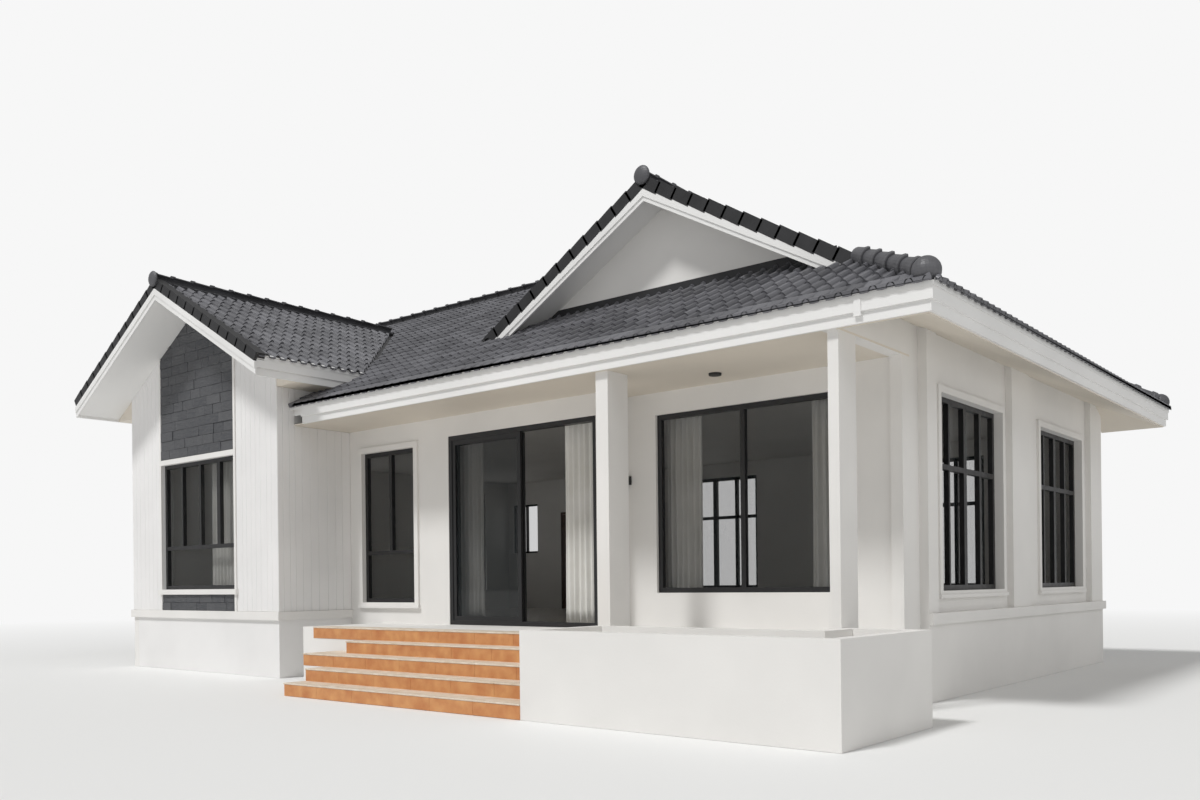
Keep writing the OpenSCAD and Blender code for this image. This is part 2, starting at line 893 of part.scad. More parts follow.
// White trim round an opening with a sill that stands out further, facing -y
module surround(x, z) {
    sill_out = 20;
    translate([x[0], 0, z[0]]) {
        difference() {
            translate([-trim_w, -trim_d, -trim_w])
                cube([x[1] - x[0] + 2 * trim_w, trim_d, z[1] - z[0] + 2 * trim_w]);
            translate([0, -trim_d - cut_over, 0])
                cube([x[1] - x[0], trim_d + 2 * cut_over, z[1] - z[0]]);
        }
        translate([-trim_w - sill_out, -trim_d - sill_out, -trim_w])
            cube([x[1] - x[0] + 2 * (trim_w + sill_out), trim_d + sill_out, trim_w / 2]);
    }
}

// Two uprights from the ledge to the roof, with a head band and a sill between them
module wing_trim() {
    strip_w = 50;
    under = wing_soffit_z - seat_gap;
    for (x = [wing_win[0] - strip_w, wing_win[1]]) intersection() {
        block([x, x + strip_w], [-trim_d, 0], [ledge_z[1], wing_ridge_z]);
        pitched_layer(180, -wing_eave, under, wing_ridge_z);
        pitched_layer(0, eave_west, under, wing_ridge_z);
    }
    block(wing_win, [-trim_d, 0], [wing_head, wing_head + trim_w]);
    block([wing_win[0] - trim_w, wing_win[1] + trim_w], [-2 * trim_d, 0],
        [wing_sill - trim_w, wing_sill]);
}

module window_surrounds() {
    sides = [side_win_first, side_win_second];
    color("white") on_plan() {
        translate([0, wing_y, 0]) wing_trim();
        translate([0, door_wall_y, 0]) surround(small_win, [small_sill, small_head]);
        for (span = sides)
            translate([bay_x, 0, 0]) rotate([0, 0, 90]) surround(span, [low_sill, head_z]);
        for (span = sides) translate([west_x, 0, 0]) rotate([0, 0, -90])
            surround([-span[1], -span[0]], [low_sill, head_z]);
        translate([0, house_d, 0]) rotate([0, 0, 180]) {
            for (span = [back_win_first, back_win_second])
                surround([-span[1], -span[0]], [low_sill, head_z]);
            surround([-back_small_win[1], -back_small_win[0]], [back_small_sill, back_small_head]);
        }
    }
}

// The upper lights stand on a transom over one wide lower light
module front_window_frames() {
    wing_win_w = wing_win[1] - wing_win[0];
    wing_win_h = wing_head - wing_sill;
    small_h = small_head - small_sill;
    porch_win_w = porch_win[1] - porch_win[0];
    quarter = wing_win_w / 4;
    color("black") on_plan() {
        translate([wing_win[0], wing_y + reveal, wing_sill])
            frame_panel(wing_win_w, wing_win_h, frame_d, frame_w,
                [[quarter, thin_bar], [2 * quarter, mid_bar], [3 * quarter, thick_bar]],
                [wing_win_h * transom_share], wing_win_h * transom_share);
        translate([small_win[0], door_wall_y + reveal, small_sill])
            frame_panel(small_win_w, small_h, frame_d, frame_w, [[small_win_w / 2, mid_bar]],
                [small_h * transom_share], small_h * transom_share);
        translate([porch_win[0], window_wall_y + reveal, low_sill])
            frame_panel(porch_win_w, head_z - low_sill, frame_d, frame_w,
                [[porch_win_w / 2, mid_bar]]);
    }
}

module east_window_frames() {
    color("black") on_plan() translate([bay_x - east_reveal, 0, 0]) {
        side_frame(side_win_first);
        side_frame(side_win_second);
    }
}

module west_window_frames() {
    color("black") on_plan() translate([west_x + reveal + frame_d, 0, 0]) {
        side_frame(side_win_first);
        side_frame(side_win_second);
    }
}

module back_window_frames() {
    small_w = back_small_win[1] - back_small_win[0];
    color("black") on_plan() translate([0, house_d - reveal - frame_d, 0]) {
        for (span = [back_win_first, back_win_second])
            translate([span[0], 0, low_sill]) four_lights(span[1] - span[0]);
        translate([back_small_win[0], 0, back_small_sill])
            frame_panel(small_w, back_small_head - back_small_sill, frame_d, thin_bar,
                [[small_w / 2, thin_bar]]);
    }
}

// A sheet of glass behind the frame of a front window
module front_pane(x, wall_y, z) {
    y = wall_y + reveal + frame_d;
    block(x, [y, y + glass_t], z);
}

module front_glass() {
    color("lightblue", 0.4) on_plan() {
        front_pane(wing_win, wing_y, [wing_sill, wing_head]);
        front_pane(small_win, door_wall_y, [small_sill, small_head]);
        front_pane(porch_win, window_wall_y, [low_sill, head_z]);
        translate([slide_left + frame_w, slide_y, leaf_z]) leaf_pane();
    }
}

module east_glass() {
    x = bay_x - east_reveal - frame_d;
    color("lightblue", 0.4) on_plan() for (span = [side_win_first, side_win_second])
        block([x - glass_t, x], span, [low_sill, head_z]);
}

module west_glass() {
    x = west_x + reveal + frame_d;
    color("lightblue", 0.4) on_plan() for (span = [side_win_first, side_win_second])
        block([x, x + glass_t], span, [low_sill, head_z]);
}

module back_glass() {
    y = house_d - reveal - frame_d;
    color("lightblue", 0.4) on_plan() {
        for (span = [back_win_first, back_win_second])
            block(span, [y - glass_t, y], [low_sill, head_z]);
        block(back_small_win, [y - glass_t, y], [back_small_sill, back_small_head]);
    }
}

// Sliding door: a fixed leaf on the outer track and a moving leaf on the inner track
slide_w = slide_right - slide_left - 2 * frame_w;
leaf_w = slide_w / 2 + frame_w / 2;
leaf_z = floor_h + frame_w;
leaf_h = head_z - frame_w - leaf_gap - leaf_z;
slide_y = door_wall_y + 20;
inner_y = slide_y + leaf_t + leaf_gap;

module leaf_sash(h) {
    difference() {
        cube([leaf_w, leaf_t, h]);
        translate([frame_w, -1, frame_w])
            cube([leaf_w - 2 * frame_w, leaf_t + 2, leaf_h - 2 * frame_w]);
    }
}

module leaf_pane() {
    translate([frame_w, (leaf_t - glass_t) / 2, frame_w])
        cube([leaf_w - 2 * frame_w, glass_t, leaf_h - 2 * frame_w]);
}

module slide_frame() {
    depth = 2 * leaf_t + 3 * leaf_gap;
    color("black") on_plan() {
        translate([slide_left, slide_y - leaf_gap, floor_h])
            frame_panel(slide_right - slide_left, head_z - floor_h, depth, frame_w);
        translate([slide_left + frame_w, slide_y, leaf_z]) leaf_sash(leaf_h + leaf_gap);
    }
}

// The moving leaf, parked behind the fixed one, runs on the sill
module on_inner_track() {
    on_plan() translate([slide_left + frame_w + leaf_gap, inner_y, leaf_z + seat_gap]) children();
}

module slide_leaf() {
    color("black") on_inner_track() leaf_sash(leaf_h);
}

module slide_leaf_glass() {
    color("lightblue", 0.4) on_inner_track() leaf_pane();
}

// Back door: hung on three hinges at its right side, seen from the back
back_jamb = 45;
hinge_h = 100;
plate_w = 30;
hinge_heights = [floor_h + 0.12 * back_door_h, floor_h + 0.5 * back_door_h,
    floor_h + 0.87 * back_door_h];
hinge_x = back_door_span[0] + back_jamb;
hinge_y = house_d - wall_t - hinge_r;

// Half of a hinge: a barrel and its plate, from one height to another
module hinge_half(x, z) {
    plate_t = hinge_r + 2;
    translate([hinge_x, hinge_y, z[0]]) cylinder(h = z[1] - z[0], r = hinge_r, $fn = 48);
    block(x, [hinge_y + hinge_r - plate_t, hinge_y + hinge_r], z);
}

module back_door_frame() {
    color("saddlebrown") on_plan() {
        translate([back_door_span[0], house_d - wall_t, floor_h]) difference() {
            cube([back_door_w, wall_t, back_door_h]);
            translate([back_jamb, -cut_over, -cut_over])
                cube([back_door_w - 2 * back_jamb, wall_t + 2 * cut_over,
                    back_door_h - back_jamb + cut_over]);
        }
        for (z = hinge_heights)
            hinge_half([hinge_x - plate_w, hinge_x], [z - hinge_h / 2, z - seat_gap]);
    }
}

module back_door() {
    color("saddlebrown") on_plan() {
        block([hinge_x + leaf_gap, back_door_span[1] - back_jamb - leaf_gap],
            [house_d - wall_t, house_d - wall_t + back_leaf_t],
            [floor_h + leaf_gap, back_door_head - back_jamb - leaf_gap]);
        for (z = hinge_heights)
            hinge_half([hinge_x, hinge_x + leaf_gap + plate_w], [z, z + hinge_h / 2]);
    }
}

module back_steps() {
    color("peru") on_plan() for (n = [1:4])
        block([back_door_span[0] - back_step_side, back_door_span[1] + back_step_side],
            [house_d, house_d + (5 - n) * back_step_d], [(n - 1) * riser, n * riser]);
}

// Curtains hang from rails under the ceiling, behind the wall whose inner face is at y
module curtain_rail(x, y) {
    middle = y + fold_d / 2;
    block(x, [middle - rail_h / 2, middle + rail_h / 2], [soffit_z - rail_h, soffit_z]);
}

module curtain(x, y) {
    block(x, [y, y + fold_d], [floor_h + curtain_lift, soffit_z - rail_h]);
}

// Where each pair of curtains hangs, as drawn back at the sides of its window
wing_curtain_y = wing_y + wall_t + curtain_back;
door_curtain_y = door_wall_y + wall_t + curtain_back;
porch_curtain_y = window_wall_y + wall_t + curtain_back;
wing_curtain_x = [[wing_win[0] - 660, wing_win[0] - 110], [wing_win[1] - 1090, wing_win[1] + 60]];
door_curtain_x = [[slide_left - 100, slide_left + 440], [slide_right - 730, slide_right - 160]];
porch_curtain_x = [[porch_win[0] - 20, porch_win[0] + 520], [porch_win[1] - 440, porch_win[1] + 150]];
rail_over = 60;

module curtain_rails() {
    color("white") on_plan() {
        curtain_rail([west_x + wall_t + rail_over, wing_east_x - wall_t - rail_over],
            wing_curtain_y);
        curtain_rail([door_curtain_x[0][0] - rail_over, door_curtain_x[1][1] + rail_over / 2],
            door_curtain_y);
        curtain_rail([porch_curtain_x[0][0] - rail_over / 2, porch_curtain_x[1][1] + rail_over],
            porch_curtain_y);
    }
}

module wing_curtains() {
    color("ivory") on_plan() for (x = wing_curtain_x) curtain(x, wing_curtain_y);
}

module door_curtains() {
    color("ivory") on_plan() for (x = door_curtain_x) curtain(x, door_curtain_y);
}

module porch_curtains() {
    color("ivory") on_plan() for (x = porch_curtain_x) curtain(x, porch_curtain_y);
}

// A small box lamp on the window wall, next to the door bay
lamp_w = 60;
lamp_d = 90;
lamp_z = [soffit_z - 1090, soffit_z - 985];
lamp_side = 25;

module wall_lamp() {
    color("black") on_plan()
        block([door_bay_x + lamp_side, door_bay_x + lamp_side + lamp_w],
            [window_wall_y - lamp_d, window_wall_y], lamp_z);
}

// A round lamp in the porch ceiling, in the middle of the porch window
module ceiling_lamp() {
    lamp_r = 70;
    lamp_t = 25;
    color("black") on_plan()
        translate([(porch_win[0] + porch_win[1]) / 2, door_wall_y, soffit_z - lamp_t])
            cylinder(h = lamp_t, r = lamp_r, $fn = 48);
}

west_wall();
back_wall();
east_wall();
window_wall();
door_wall_left();
door_wall_right();
door_wall_top();
wing_front_wall();
wing_side_wall();
floor_slab();
porch_slab();
step_first();
step_second();
step_third();
step_fourth();
planting_trough();
plinth_ledge();
left_column();
corner_column();
eave_soffit();
room_ceiling();
front_slope();
east_slope();
back_slope();
front_gable_slope();
wing_east_slope();
wing_west_slope();
ridge_caps();
main_fascia();
wing_fascia();
front_gable_boards();
wing_gable_boards();
west_gable_boards();
verge_covers();
front_gable_wall();
slate_panels();
window_surrounds();
front_window_frames();
east_window_frames();
west_window_frames();
back_window_frames();
front_glass();
east_glass();
west_glass();
back_glass();
slide_frame();
slide_leaf();
slide_leaf_glass();
back_door_frame();
back_door();
back_steps();
curtain_rails();
wing_curtains();
door_curtains();
porch_curtains();
wall_lamp();
ceiling_lamp();
wing_soffit();
porch_edge();
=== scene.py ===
"""A white bungalow with a gabled wing: tiles, boards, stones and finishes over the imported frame."""

import json
import math
import random

import bmesh
import bpy
from mathutils import Matrix, Vector


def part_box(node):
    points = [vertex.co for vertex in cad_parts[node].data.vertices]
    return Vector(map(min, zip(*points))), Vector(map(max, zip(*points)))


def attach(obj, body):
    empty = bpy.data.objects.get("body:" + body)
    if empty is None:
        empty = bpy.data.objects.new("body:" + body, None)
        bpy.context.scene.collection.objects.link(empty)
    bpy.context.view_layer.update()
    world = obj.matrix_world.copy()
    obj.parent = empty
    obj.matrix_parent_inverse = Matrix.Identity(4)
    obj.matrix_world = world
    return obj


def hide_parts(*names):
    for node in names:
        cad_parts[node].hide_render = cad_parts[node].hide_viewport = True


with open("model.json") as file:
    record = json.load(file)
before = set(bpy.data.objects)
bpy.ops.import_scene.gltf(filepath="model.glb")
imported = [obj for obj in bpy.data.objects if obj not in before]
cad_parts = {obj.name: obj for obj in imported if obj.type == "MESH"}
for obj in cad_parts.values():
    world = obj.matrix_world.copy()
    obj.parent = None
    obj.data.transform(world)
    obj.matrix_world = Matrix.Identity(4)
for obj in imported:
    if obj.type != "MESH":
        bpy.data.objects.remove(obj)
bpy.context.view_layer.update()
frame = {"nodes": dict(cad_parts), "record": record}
nodes = frame["nodes"]

# House axes in metres: x to the east from the east face of the porch columns, y to the back
# from the front of the columns, z up from the ground. This moves them to the shared frame.
HOUSE = Vector((6.125, -3.7875, 0.0))

# Roof, with the same values as the solids: eave lines, ridges, the front gable and the wing
PITCH = math.radians(29)
RISE = math.tan(PITCH)
EAVE_FRONT, EAVE_BACK, EAVE_EAST, EAVE_WEST = -0.1, 9.1, 0.94, -13.265
EAVE_Z = 3.85
RIDGE_Y, RIDGE_EAST = 4.5, -3.66
RIDGE_RUN = RIDGE_Y - EAVE_FRONT
RIDGE_Z = EAVE_Z + RIDGE_RUN * RISE
GABLE_X, GABLE_Y, GABLE_RUN = -3.1, 1.2, 4.04
GABLE_Z = EAVE_Z + GABLE_RUN * RISE
GABLE_TOP_Y = 3.94
GABLE_WALL_Y = 1.65
GABLE_LEFT, GABLE_RIGHT = -5.84, -0.36
WING_X, WING_HALF = -10.615, 2.65
WING_EAST, WING_VERGE = -7.965, -0.96
WING_Z = 4.38
WING_RIDGE_Z = WING_Z + WING_HALF * RISE
WING_MEET_Y, WING_RIDGE_END = 0.856, 3.506
# Where the line of the recessed gable wall crosses the hip and the valley
WALL_HIP_X = EAVE_EAST - (GABLE_WALL_Y - EAVE_FRONT)
WALL_VALLEY_X = GABLE_LEFT + (GABLE_WALL_Y - GABLE_Y)

# Walls of the wing and the porch
WING_SIDE, WING_FRONT, WEST = -8.51, -0.31, -12.72
WING_WINDOW = (-11.74, -9.61, 1.27, 3.26)
WING_SOFFIT_Z = 4.13
LEDGE_TOP = 0.94
DOOR_WALL_Y = 0.93
CEILING_Z = 3.6
TRIM = 0.08

# Tiles: the height of a course, the spacing and height of the rolls, the thickness, how far
# a nose stands over the course below and how far it laps it, and the bed on the slab
GAUGE = 0.2525
ROLL = 0.165
ROLL_HIGH = 0.045
TILE_THICK = 0.016
NOSE_LIFT = 0.018
NOSE_LAP = 0.002
BED = 0.005
# Where the first roll starts beside a gable edge
VERGE_STRIP = 0.155
# How far the first course lies below the eave line, measured up the slope and in plan
FIRST_DROP = 0.03
EAVE_OVER = 0.035
# How far the tiles stop from a valley line, measured along the eave
GUTTER = 0.06

draw = random.Random(29)


class Channel:
    """A shader socket. A sum, product or power of it adds a Math node."""

    def __init__(self, finish, socket):
        self.finish = finish
        self.socket = socket

    def math(self, operation, other):
        return self.finish.node("ShaderNodeMath", {"operation": operation}, {0: self, 1: other})

    def __add__(self, other):
        return self.math("ADD", other)

    def __mul__(self, other):
        return self.math("MULTIPLY", other)

    def power(self, other):
        return self.math("POWER", other)


class Finish:
    """One material, and the nodes that make it."""

    def __init__(self, name, colour, roughness, **constants):
        self.material = bpy.data.materials.new(name)
        self.material.use_nodes = True
        self.tree = self.material.node_tree
        self.shader = self.tree.nodes["Principled BSDF"]
        self.material.diffuse_color = (*colour, 1)
        self.set("Base Color", (*colour, 1))
        self.set("Roughness", roughness)
        for socket, value in constants.items():
            self.set(socket.replace("_", " "), value)

    def plug(self, socket, value):
        """Links a channel to a socket, or sets the socket to a plain value."""
        if isinstance(value, Channel):
            self.tree.links.new(value.socket, socket)
        else:
            socket.default_value = value

    def set(self, name, value):
        self.plug(self.shader.inputs[name], value)

    def node(self, kind, settings=None, values=None, out=0):
        """Adds a node with its settings and inputs, and gives one of its outputs."""
        made = self.tree.nodes.new(kind)
        for name, value in (settings or {}).items():
            setattr(made, name, value)
        for name, value in (values or {}).items():
            self.plug(made.inputs[name], value)
        return Channel(self, made.outputs[out])

    def place(self, scale=(1, 1, 1)):
        """Object coordinates, scaled by axis."""
        point = self.node("ShaderNodeTexCoord", out="Object")
        return self.node("ShaderNodeMapping", None, {"Vector": point, "Scale": scale})

    def uv(self, layer):
        return self.node("ShaderNodeUVMap", {"uv_map": layer})

    def noise(self, scale, detail, where=None):
        values = {"Scale": scale, "Detail": detail, "Vector": where or self.place()}
        return self.node("ShaderNodeTexNoise", None, values)

    def chance(self, cell):
        """One random value for each cell."""
        return self.node("ShaderNodeTexWhiteNoise", {"noise_dimensions": "2D"}, {"Vector": cell})

    def upward(self, low, high):
        """From 0 to 1 as a face turns up to the sky."""
        normal = self.node("ShaderNodeNewGeometry", out="Normal")
        return self.span(self.parts(normal)[2], low, high)

    def parts(self, vector):
        """The x, y and z of a vector."""
        split = self.tree.nodes.new("ShaderNodeSeparateXYZ")
        self.plug(split.inputs[0], vector)
        return [Channel(self, s) for s in split.outputs]

    def ramp(self, value, low, high, dark, light):
        """A colour that goes from dark to light as the value goes from low to high."""
        made = self.tree.nodes.new("ShaderNodeValToRGB")
        for stop, place, colour in zip(made.color_ramp.elements, (low, high), (dark, light)):
            stop.position = place
            stop.color = (*colour, 1)
        self.plug(made.inputs["Fac"], value)
        return Channel(self, made.outputs[0])

    def span(self, value, low, high, start=0.0, end=1.0):
        """Maps low to high onto start to end."""
        values = {"Value": value, "From Min": low, "From Max": high, "To Min": start, "To Max": end}
        return self.node("ShaderNodeMapRange", {"clamp": True}, values)

    def mix(self, amount, first, second):
        """A blend of two colours. A colour mix has its colours on sockets 6, 7 and, out, 2."""
        made = self.tree.nodes.new("ShaderNodeMix")
        made.data_type = "RGBA"
        for number, value in ((0, amount), (6, first), (7, second)):
            if isinstance(value, tuple) and len(value) == 3:
                value = (*value, 1)
            self.plug(made.inputs[number], value)
        return Channel(self, made.outputs[2])

    def bump(self, height, depth, strength):
        values = {"Strength": strength, "Distance": depth, "Height": height}
        return self.node("ShaderNodeBump", None, values)


def paint_finish(name, colour, grain, scale, roughness=0.75):
    """Matt paint with a fine grain and a faint change of tone."""
    paint = Finish(name, colour, roughness)
    fine = paint.noise(scale, 4)
    broad = paint.noise(0.9, 3)
    shade = tuple(c * 0.93 for c in colour)
    paint.set("Base Color", paint.mix(paint.span(broad, 0.35, 0.7), colour, shade))
    paint.set("Normal", paint.bump(fine, grain, 0.5))
    return paint


def tile_finish():
    """Dark concrete tile: each one its own shade, with paler patches at random, and with paler grit.
    """
    tile = Finish("roof_tile", (0.05, 0.05, 0.054), 0.42)
    cell = tile.uv("tiles")
    floor = tile.node("ShaderNodeVectorMath", {"operation": "FLOOR"}, {0: cell})
    chance = tile.chance(floor)
    grit = tile.noise(420, 2)
    patch = tile.noise(5, 4)
    base = tile.ramp(chance, 0.0, 1.0, (0.074, 0.074, 0.082), (0.154, 0.154, 0.168))
    base = tile.mix(tile.span(patch, 0.45, 0.75, 0, 0.5), base, (0.155, 0.155, 0.165))
    base = tile.mix(tile.span(grit, 0.55, 0.8, 0, 0.45), base, (0.25, 0.25, 0.265))
    tile.set("Base Color", base)
    tile.set("Roughness", tile.span(patch, 0.3, 0.7, 0.3, 0.5))
    tile.set("Normal", tile.bump(grit, 0.0012, 0.6))
    return tile


def cap_finish(name, dark, light):
    """The same concrete, smoother, for caps and verge tiles, between two tones."""
    tile = Finish(name, (light, light, light), 0.45)
    grit = tile.noise(350, 2)
    patch = tile.noise(4, 4)
    base = tile.ramp(patch, 0.3, 0.75, (dark, dark, dark * 1.08), (light, light, light * 1.08))
    tile.set("Base Color", tile.mix(tile.span(grit, 0.58, 0.8, 0, 0.35), base, (0.12, 0.12, 0.125)))
    tile.set("Normal", tile.bump(grit, 0.001, 0.6))
    return tile


# White gloss of the boards, also on the underside of the roof slab
WHITE = (0.83, 0.825, 0.81)


def slab_finish():
    """The roof under its tiles: dark on top, and painted white on its edges and its underside."""
    slab = Finish("roof_slab", (0.03, 0.03, 0.032), 0.6)
    slab.set("Base Color", slab.mix(slab.upward(0.3, 0.4), WHITE, (0.03, 0.03, 0.032)))
    slab.set("Normal", slab.bump(slab.noise(60, 3), 0.0005, 0.5))
    return slab


def slate_finish():
    """Split slate: each stone its own grey, with a layered face."""
    stone = Finish("slate", (0.065, 0.068, 0.075), 0.7)
    cell = stone.uv("stones")
    chance = stone.chance(cell)
    layer = stone.noise(9, 6, stone.place((1, 1, 5)))
    fine = stone.noise(70, 5, stone.place((1, 1, 2.5)))
    base = stone.ramp(chance, 0.0, 1.0, (0.050, 0.053, 0.060), (0.088, 0.090, 0.096))
    base = stone.mix(stone.span(layer, 0.4, 0.75, 0, 0.6), base, (0.115, 0.115, 0.118))
    stone.set("Base Color", base)
    stone.set("Normal", stone.bump(layer + fine * 0.4, 0.012, 0.8))
    return stone


def clay_finish():
    """Terracotta, with a pale worn top."""
    clay = Finish("step_tile", (0.55, 0.24, 0.08), 0.55)
    patch = clay.noise(6, 5)
    grain = clay.noise(160, 3)
    rust = clay.ramp(patch, 0.3, 0.72, (0.50, 0.19, 0.065), (0.66, 0.33, 0.13))
    cream = clay.ramp(patch, 0.3, 0.75, (0.66, 0.55, 0.42), (0.78, 0.70, 0.60))
    clay.set("Base Color", clay.mix(clay.upward(0.4, 0.8), rust, cream))
    clay.set("Normal", clay.bump(grain, 0.0008, 0.6))
    return clay


def floor_finish():
    """Square porcelain floor tiles with thin joints."""
    tile = Finish("floor_tile", (0.62, 0.60, 0.56), 0.3)
    grid = tile.node("ShaderNodeTexBrick", {"offset": 0.0}, {
        "Vector": tile.place(),
        "Scale": 1.0,
        "Mortar Size": 0.006,
        "Brick Width": 0.6,
        "Row Height": 0.6,
        "Color1": (0.63, 0.61, 0.57, 1),
        "Color2": (0.58, 0.56, 0.52, 1),
        "Mortar": (0.36, 0.35, 0.33, 1),
    })
    cloud = tile.noise(3, 5)
    tile.set("Base Color", tile.mix(tile.span(cloud, 0.3, 0.7, 0, 0.35), grid, (0.70, 0.68, 0.64)))
    return tile


def frame_finish():
    """Black powder coat."""
    coat = Finish("black_frame", (0.012, 0.012, 0.013), 0.38)
    coat.set("Roughness", coat.span(coat.noise(12, 3), 0.3, 0.7, 0.32, 0.46))
    coat.set("Normal", coat.bump(coat.noise(700, 2), 0.0003, 0.4))
    return coat


def glass_finish():
    """Grey tinted glass, seen through and reflecting."""
    pane = Finish("window_glass", (0.015, 0.02, 0.022), 0.02, Alpha=0.2, Specular_IOR_Level=0.5)
    pane.set("Normal", pane.bump(pane.noise(0.8, 1), 0.004, 0.3))
    return pane


def wood_finish():
    """Dark stained wood with an upright grain."""
    wood = Finish("dark_wood", (0.05, 0.022, 0.012), 0.4)
    grain = wood.noise(14, 6, wood.place((9, 9, 0.7)))
    wood.set("Base Color", wood.ramp(grain, 0.3, 0.7, (0.028, 0.012, 0.007), (0.085, 0.038, 0.02)))
    wood.set("Normal", wood.bump(grain, 0.001, 0.5))
    return wood


def cloth_finish():
    """Sheer off-white weave."""
    cloth = Finish("curtain_cloth", (0.80, 0.79, 0.75), 0.9, Alpha=0.93, Sheen_Weight=0.3)
    weft = {"Vector": cloth.place(), "Scale": 260.0}
    thread = cloth.node("ShaderNodeTexWave", {"bands_direction": "Z"}, weft)
    broad = cloth.noise(2.5, 3)
    cloth.set("Base Color", cloth.ramp(broad, 0.3, 0.7, (0.74, 0.73, 0.69), (0.84, 0.83, 0.80)))
    cloth.set("Normal", cloth.bump(thread, 0.0004, 0.5))
    return cloth


def lamp_finish():
    """Matt black paint on metal."""
    coat = Finish("lamp_black", (0.015, 0.015, 0.015), 0.55)
    coat.set("Normal", coat.bump(coat.noise(500, 2), 0.0003, 0.5))
    return coat


def flashing_finish():
    """Dark coated metal."""
    metal = Finish("flashing", (0.03, 0.03, 0.032), 0.45, Metallic=0.3)
    metal.set("Normal", metal.bump(metal.noise(40, 3), 0.0006, 0.5))
    return metal


def tread_finish():
    """Cream step tile."""
    tile = Finish("tread_tile", (0.72, 0.63, 0.52), 0.5)
    base = tile.ramp(tile.noise(7, 5), 0.3, 0.72, (0.62, 0.51, 0.39), (0.78, 0.71, 0.61))
    tile.set("Base Color", base)
    tile.set("Normal", tile.bump(tile.noise(180, 3), 0.0006, 0.5))
    return tile


white_render = paint_finish("white_render", (0.80, 0.785, 0.76), 0.0015, 45)
wing_paint = paint_finish("wing_cladding", (0.82, 0.81, 0.80), 0.0006, 80, 0.6)
white_trim = paint_finish("fascia_board", WHITE, 0.0004, 90, 0.45)
soffit_paint = paint_finish("soffit_board", (0.74, 0.68, 0.59), 0.0004, 80, 0.6)
roof_tile = tile_finish()
# Caps and verge tiles are one concrete: the caps take a lighter copy, painted light for their sunlit
# tops, and the verge tiles a darker one
cap_tile_painted_light = cap_finish("cap_tile_painted_light", 0.065, 0.115)
verge_tile = cap_finish("verge_tile", 0.013, 0.026)
roof_slab = slab_finish()
slate = slate_finish()
clay_tile = clay_finish()
floor_tile = floor_finish()
black_frame = frame_finish()
window_glass = glass_finish()
dark_wood = wood_finish()
curtain_cloth = cloth_finish()
lamp_black = lamp_finish()
flashing = flashing_finish()
cream_tile = tread_finish()

SLOT_FINISH = {
    "white_render": white_render,
    "wing_cladding": wing_paint,
    "floor_tile": floor_tile,
    "step_tile": clay_tile,
    "soffit_board": soffit_paint,
    "roof_tile": roof_slab,
    "fascia_board": white_trim,
    "slate": slate,
    "black_frame": black_frame,
    "window_glass": window_glass,
    "dark_wood": dark_wood,
    "curtain_cloth": curtain_cloth,
    "lamp_black": lamp_black,
}

for part in frame["record"]["subparts"]:
    finish = SLOT_FINISH[part["material_slot"]]
    data = nodes[part["node"]].data
    data.materials.clear()
    data.materials.append(finish.material)


def piece(name, bm, finish, body="house", smooth=False, stands_for=()):
    """Makes the mesh an object in the shared frame, riding its body."""
    bmesh.ops.translate(bm, vec=HOUSE, verts=bm.verts)
    mesh = bpy.data.meshes.new(name)
    bm.to_mesh(mesh)
    bm.free()
    if smooth:
        mesh.shade_smooth()
    mesh.materials.append(finish.material)
    made = bpy.data.objects.new(name, mesh)
    bpy.context.scene.collection.objects.link(made)
    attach(made, body)
    if stands_for:
        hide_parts(*stands_for)
    return made


def move(bm, matrix, verts=None):
    bmesh.ops.transform(bm, matrix=matrix, verts=verts or bm.verts)


def new_verts(geom):
    """The vertices among the geometry that an operator made."""
    return [g for g in geom if isinstance(g, bmesh.types.BMVert)]


def island(vert):
    """All the vertices that are joined to this one."""
    held, waiting = {vert}, [vert]
    while waiting:
        here = waiting.pop()
        for edge in here.link_edges:
            other = edge.other_vert(here)
            if other not in held:
                held.add(other)
                waiting.append(other)
    return held


def frame_at(origin, across, up, out):
    """A matrix whose columns are the three directions, placed at the origin."""
    columns = Matrix((across, up, out)).transposed().to_4x4()
    return Matrix.Translation(origin) @ columns


def inside(point, outline):
    """Whether a plan point lies in the outline."""
    x, y = point
    held = False
    for (ax, ay), (bx, by) in zip(outline, outline[1:] + outline[:1]):
        if (ay > y) != (by > y) and x < ax + (y - ay) * (bx - ax) / (by - ay):
            held = not held
    return held


def bisect(bm, point, normal, **options):
    """Cuts the whole mesh along a plane."""
    everything = bm.verts[:] + bm.edges[:] + bm.faces[:]
    bmesh.ops.bisect_plane(bm, geom=everything, plane_co=point, plane_no=normal, **options)


def cut_to_plan(bm, outline):
    """Cuts along every side of the outline, keeps what lies in it and closes the cuts."""
    for (ax, ay), (bx, by) in zip(outline, outline[1:] + outline[:1]):
        bisect(bm, (ax, ay, 0), (by - ay, ax - bx, 0), dist=1e-5)
    outer = [f for f in bm.faces if not inside(f.calc_center_median()[:2], outline)]
    bmesh.ops.delete(bm, geom=outer, context="FACES")
    rim = [e for e in bm.edges if e.is_boundary]
    bmesh.ops.holes_fill(bm, edges=rim, sides=0)


def box_between(bm, low, high, soften=0.0):
    """A box between two corners, with its edges bevelled where soften is given."""
    low, high = Vector(low), Vector(high)
    place = Matrix.Translation((low + high) / 2) @ Matrix.Diagonal((*(high - low), 1))
    made = bmesh.ops.create_cube(bm, size=1, matrix=place)["verts"]
    if soften:
        edges = list({e for v in made for e in v.link_edges})
        bmesh.ops.bevel(
            bm, geom=edges, offset=soften, segments=1, profile=0.5, affect="EDGES", material=-1,
        )


def trim_above(bm, point, normal):
    """Cuts away what lies on the outer side of a plane and closes the cut."""
    bisect(bm, point, normal, dist=1e-6, clear_outer=True)
    bmesh.ops.holes_fill(bm, edges=[e for e in bm.edges if e.is_boundary], sides=0)


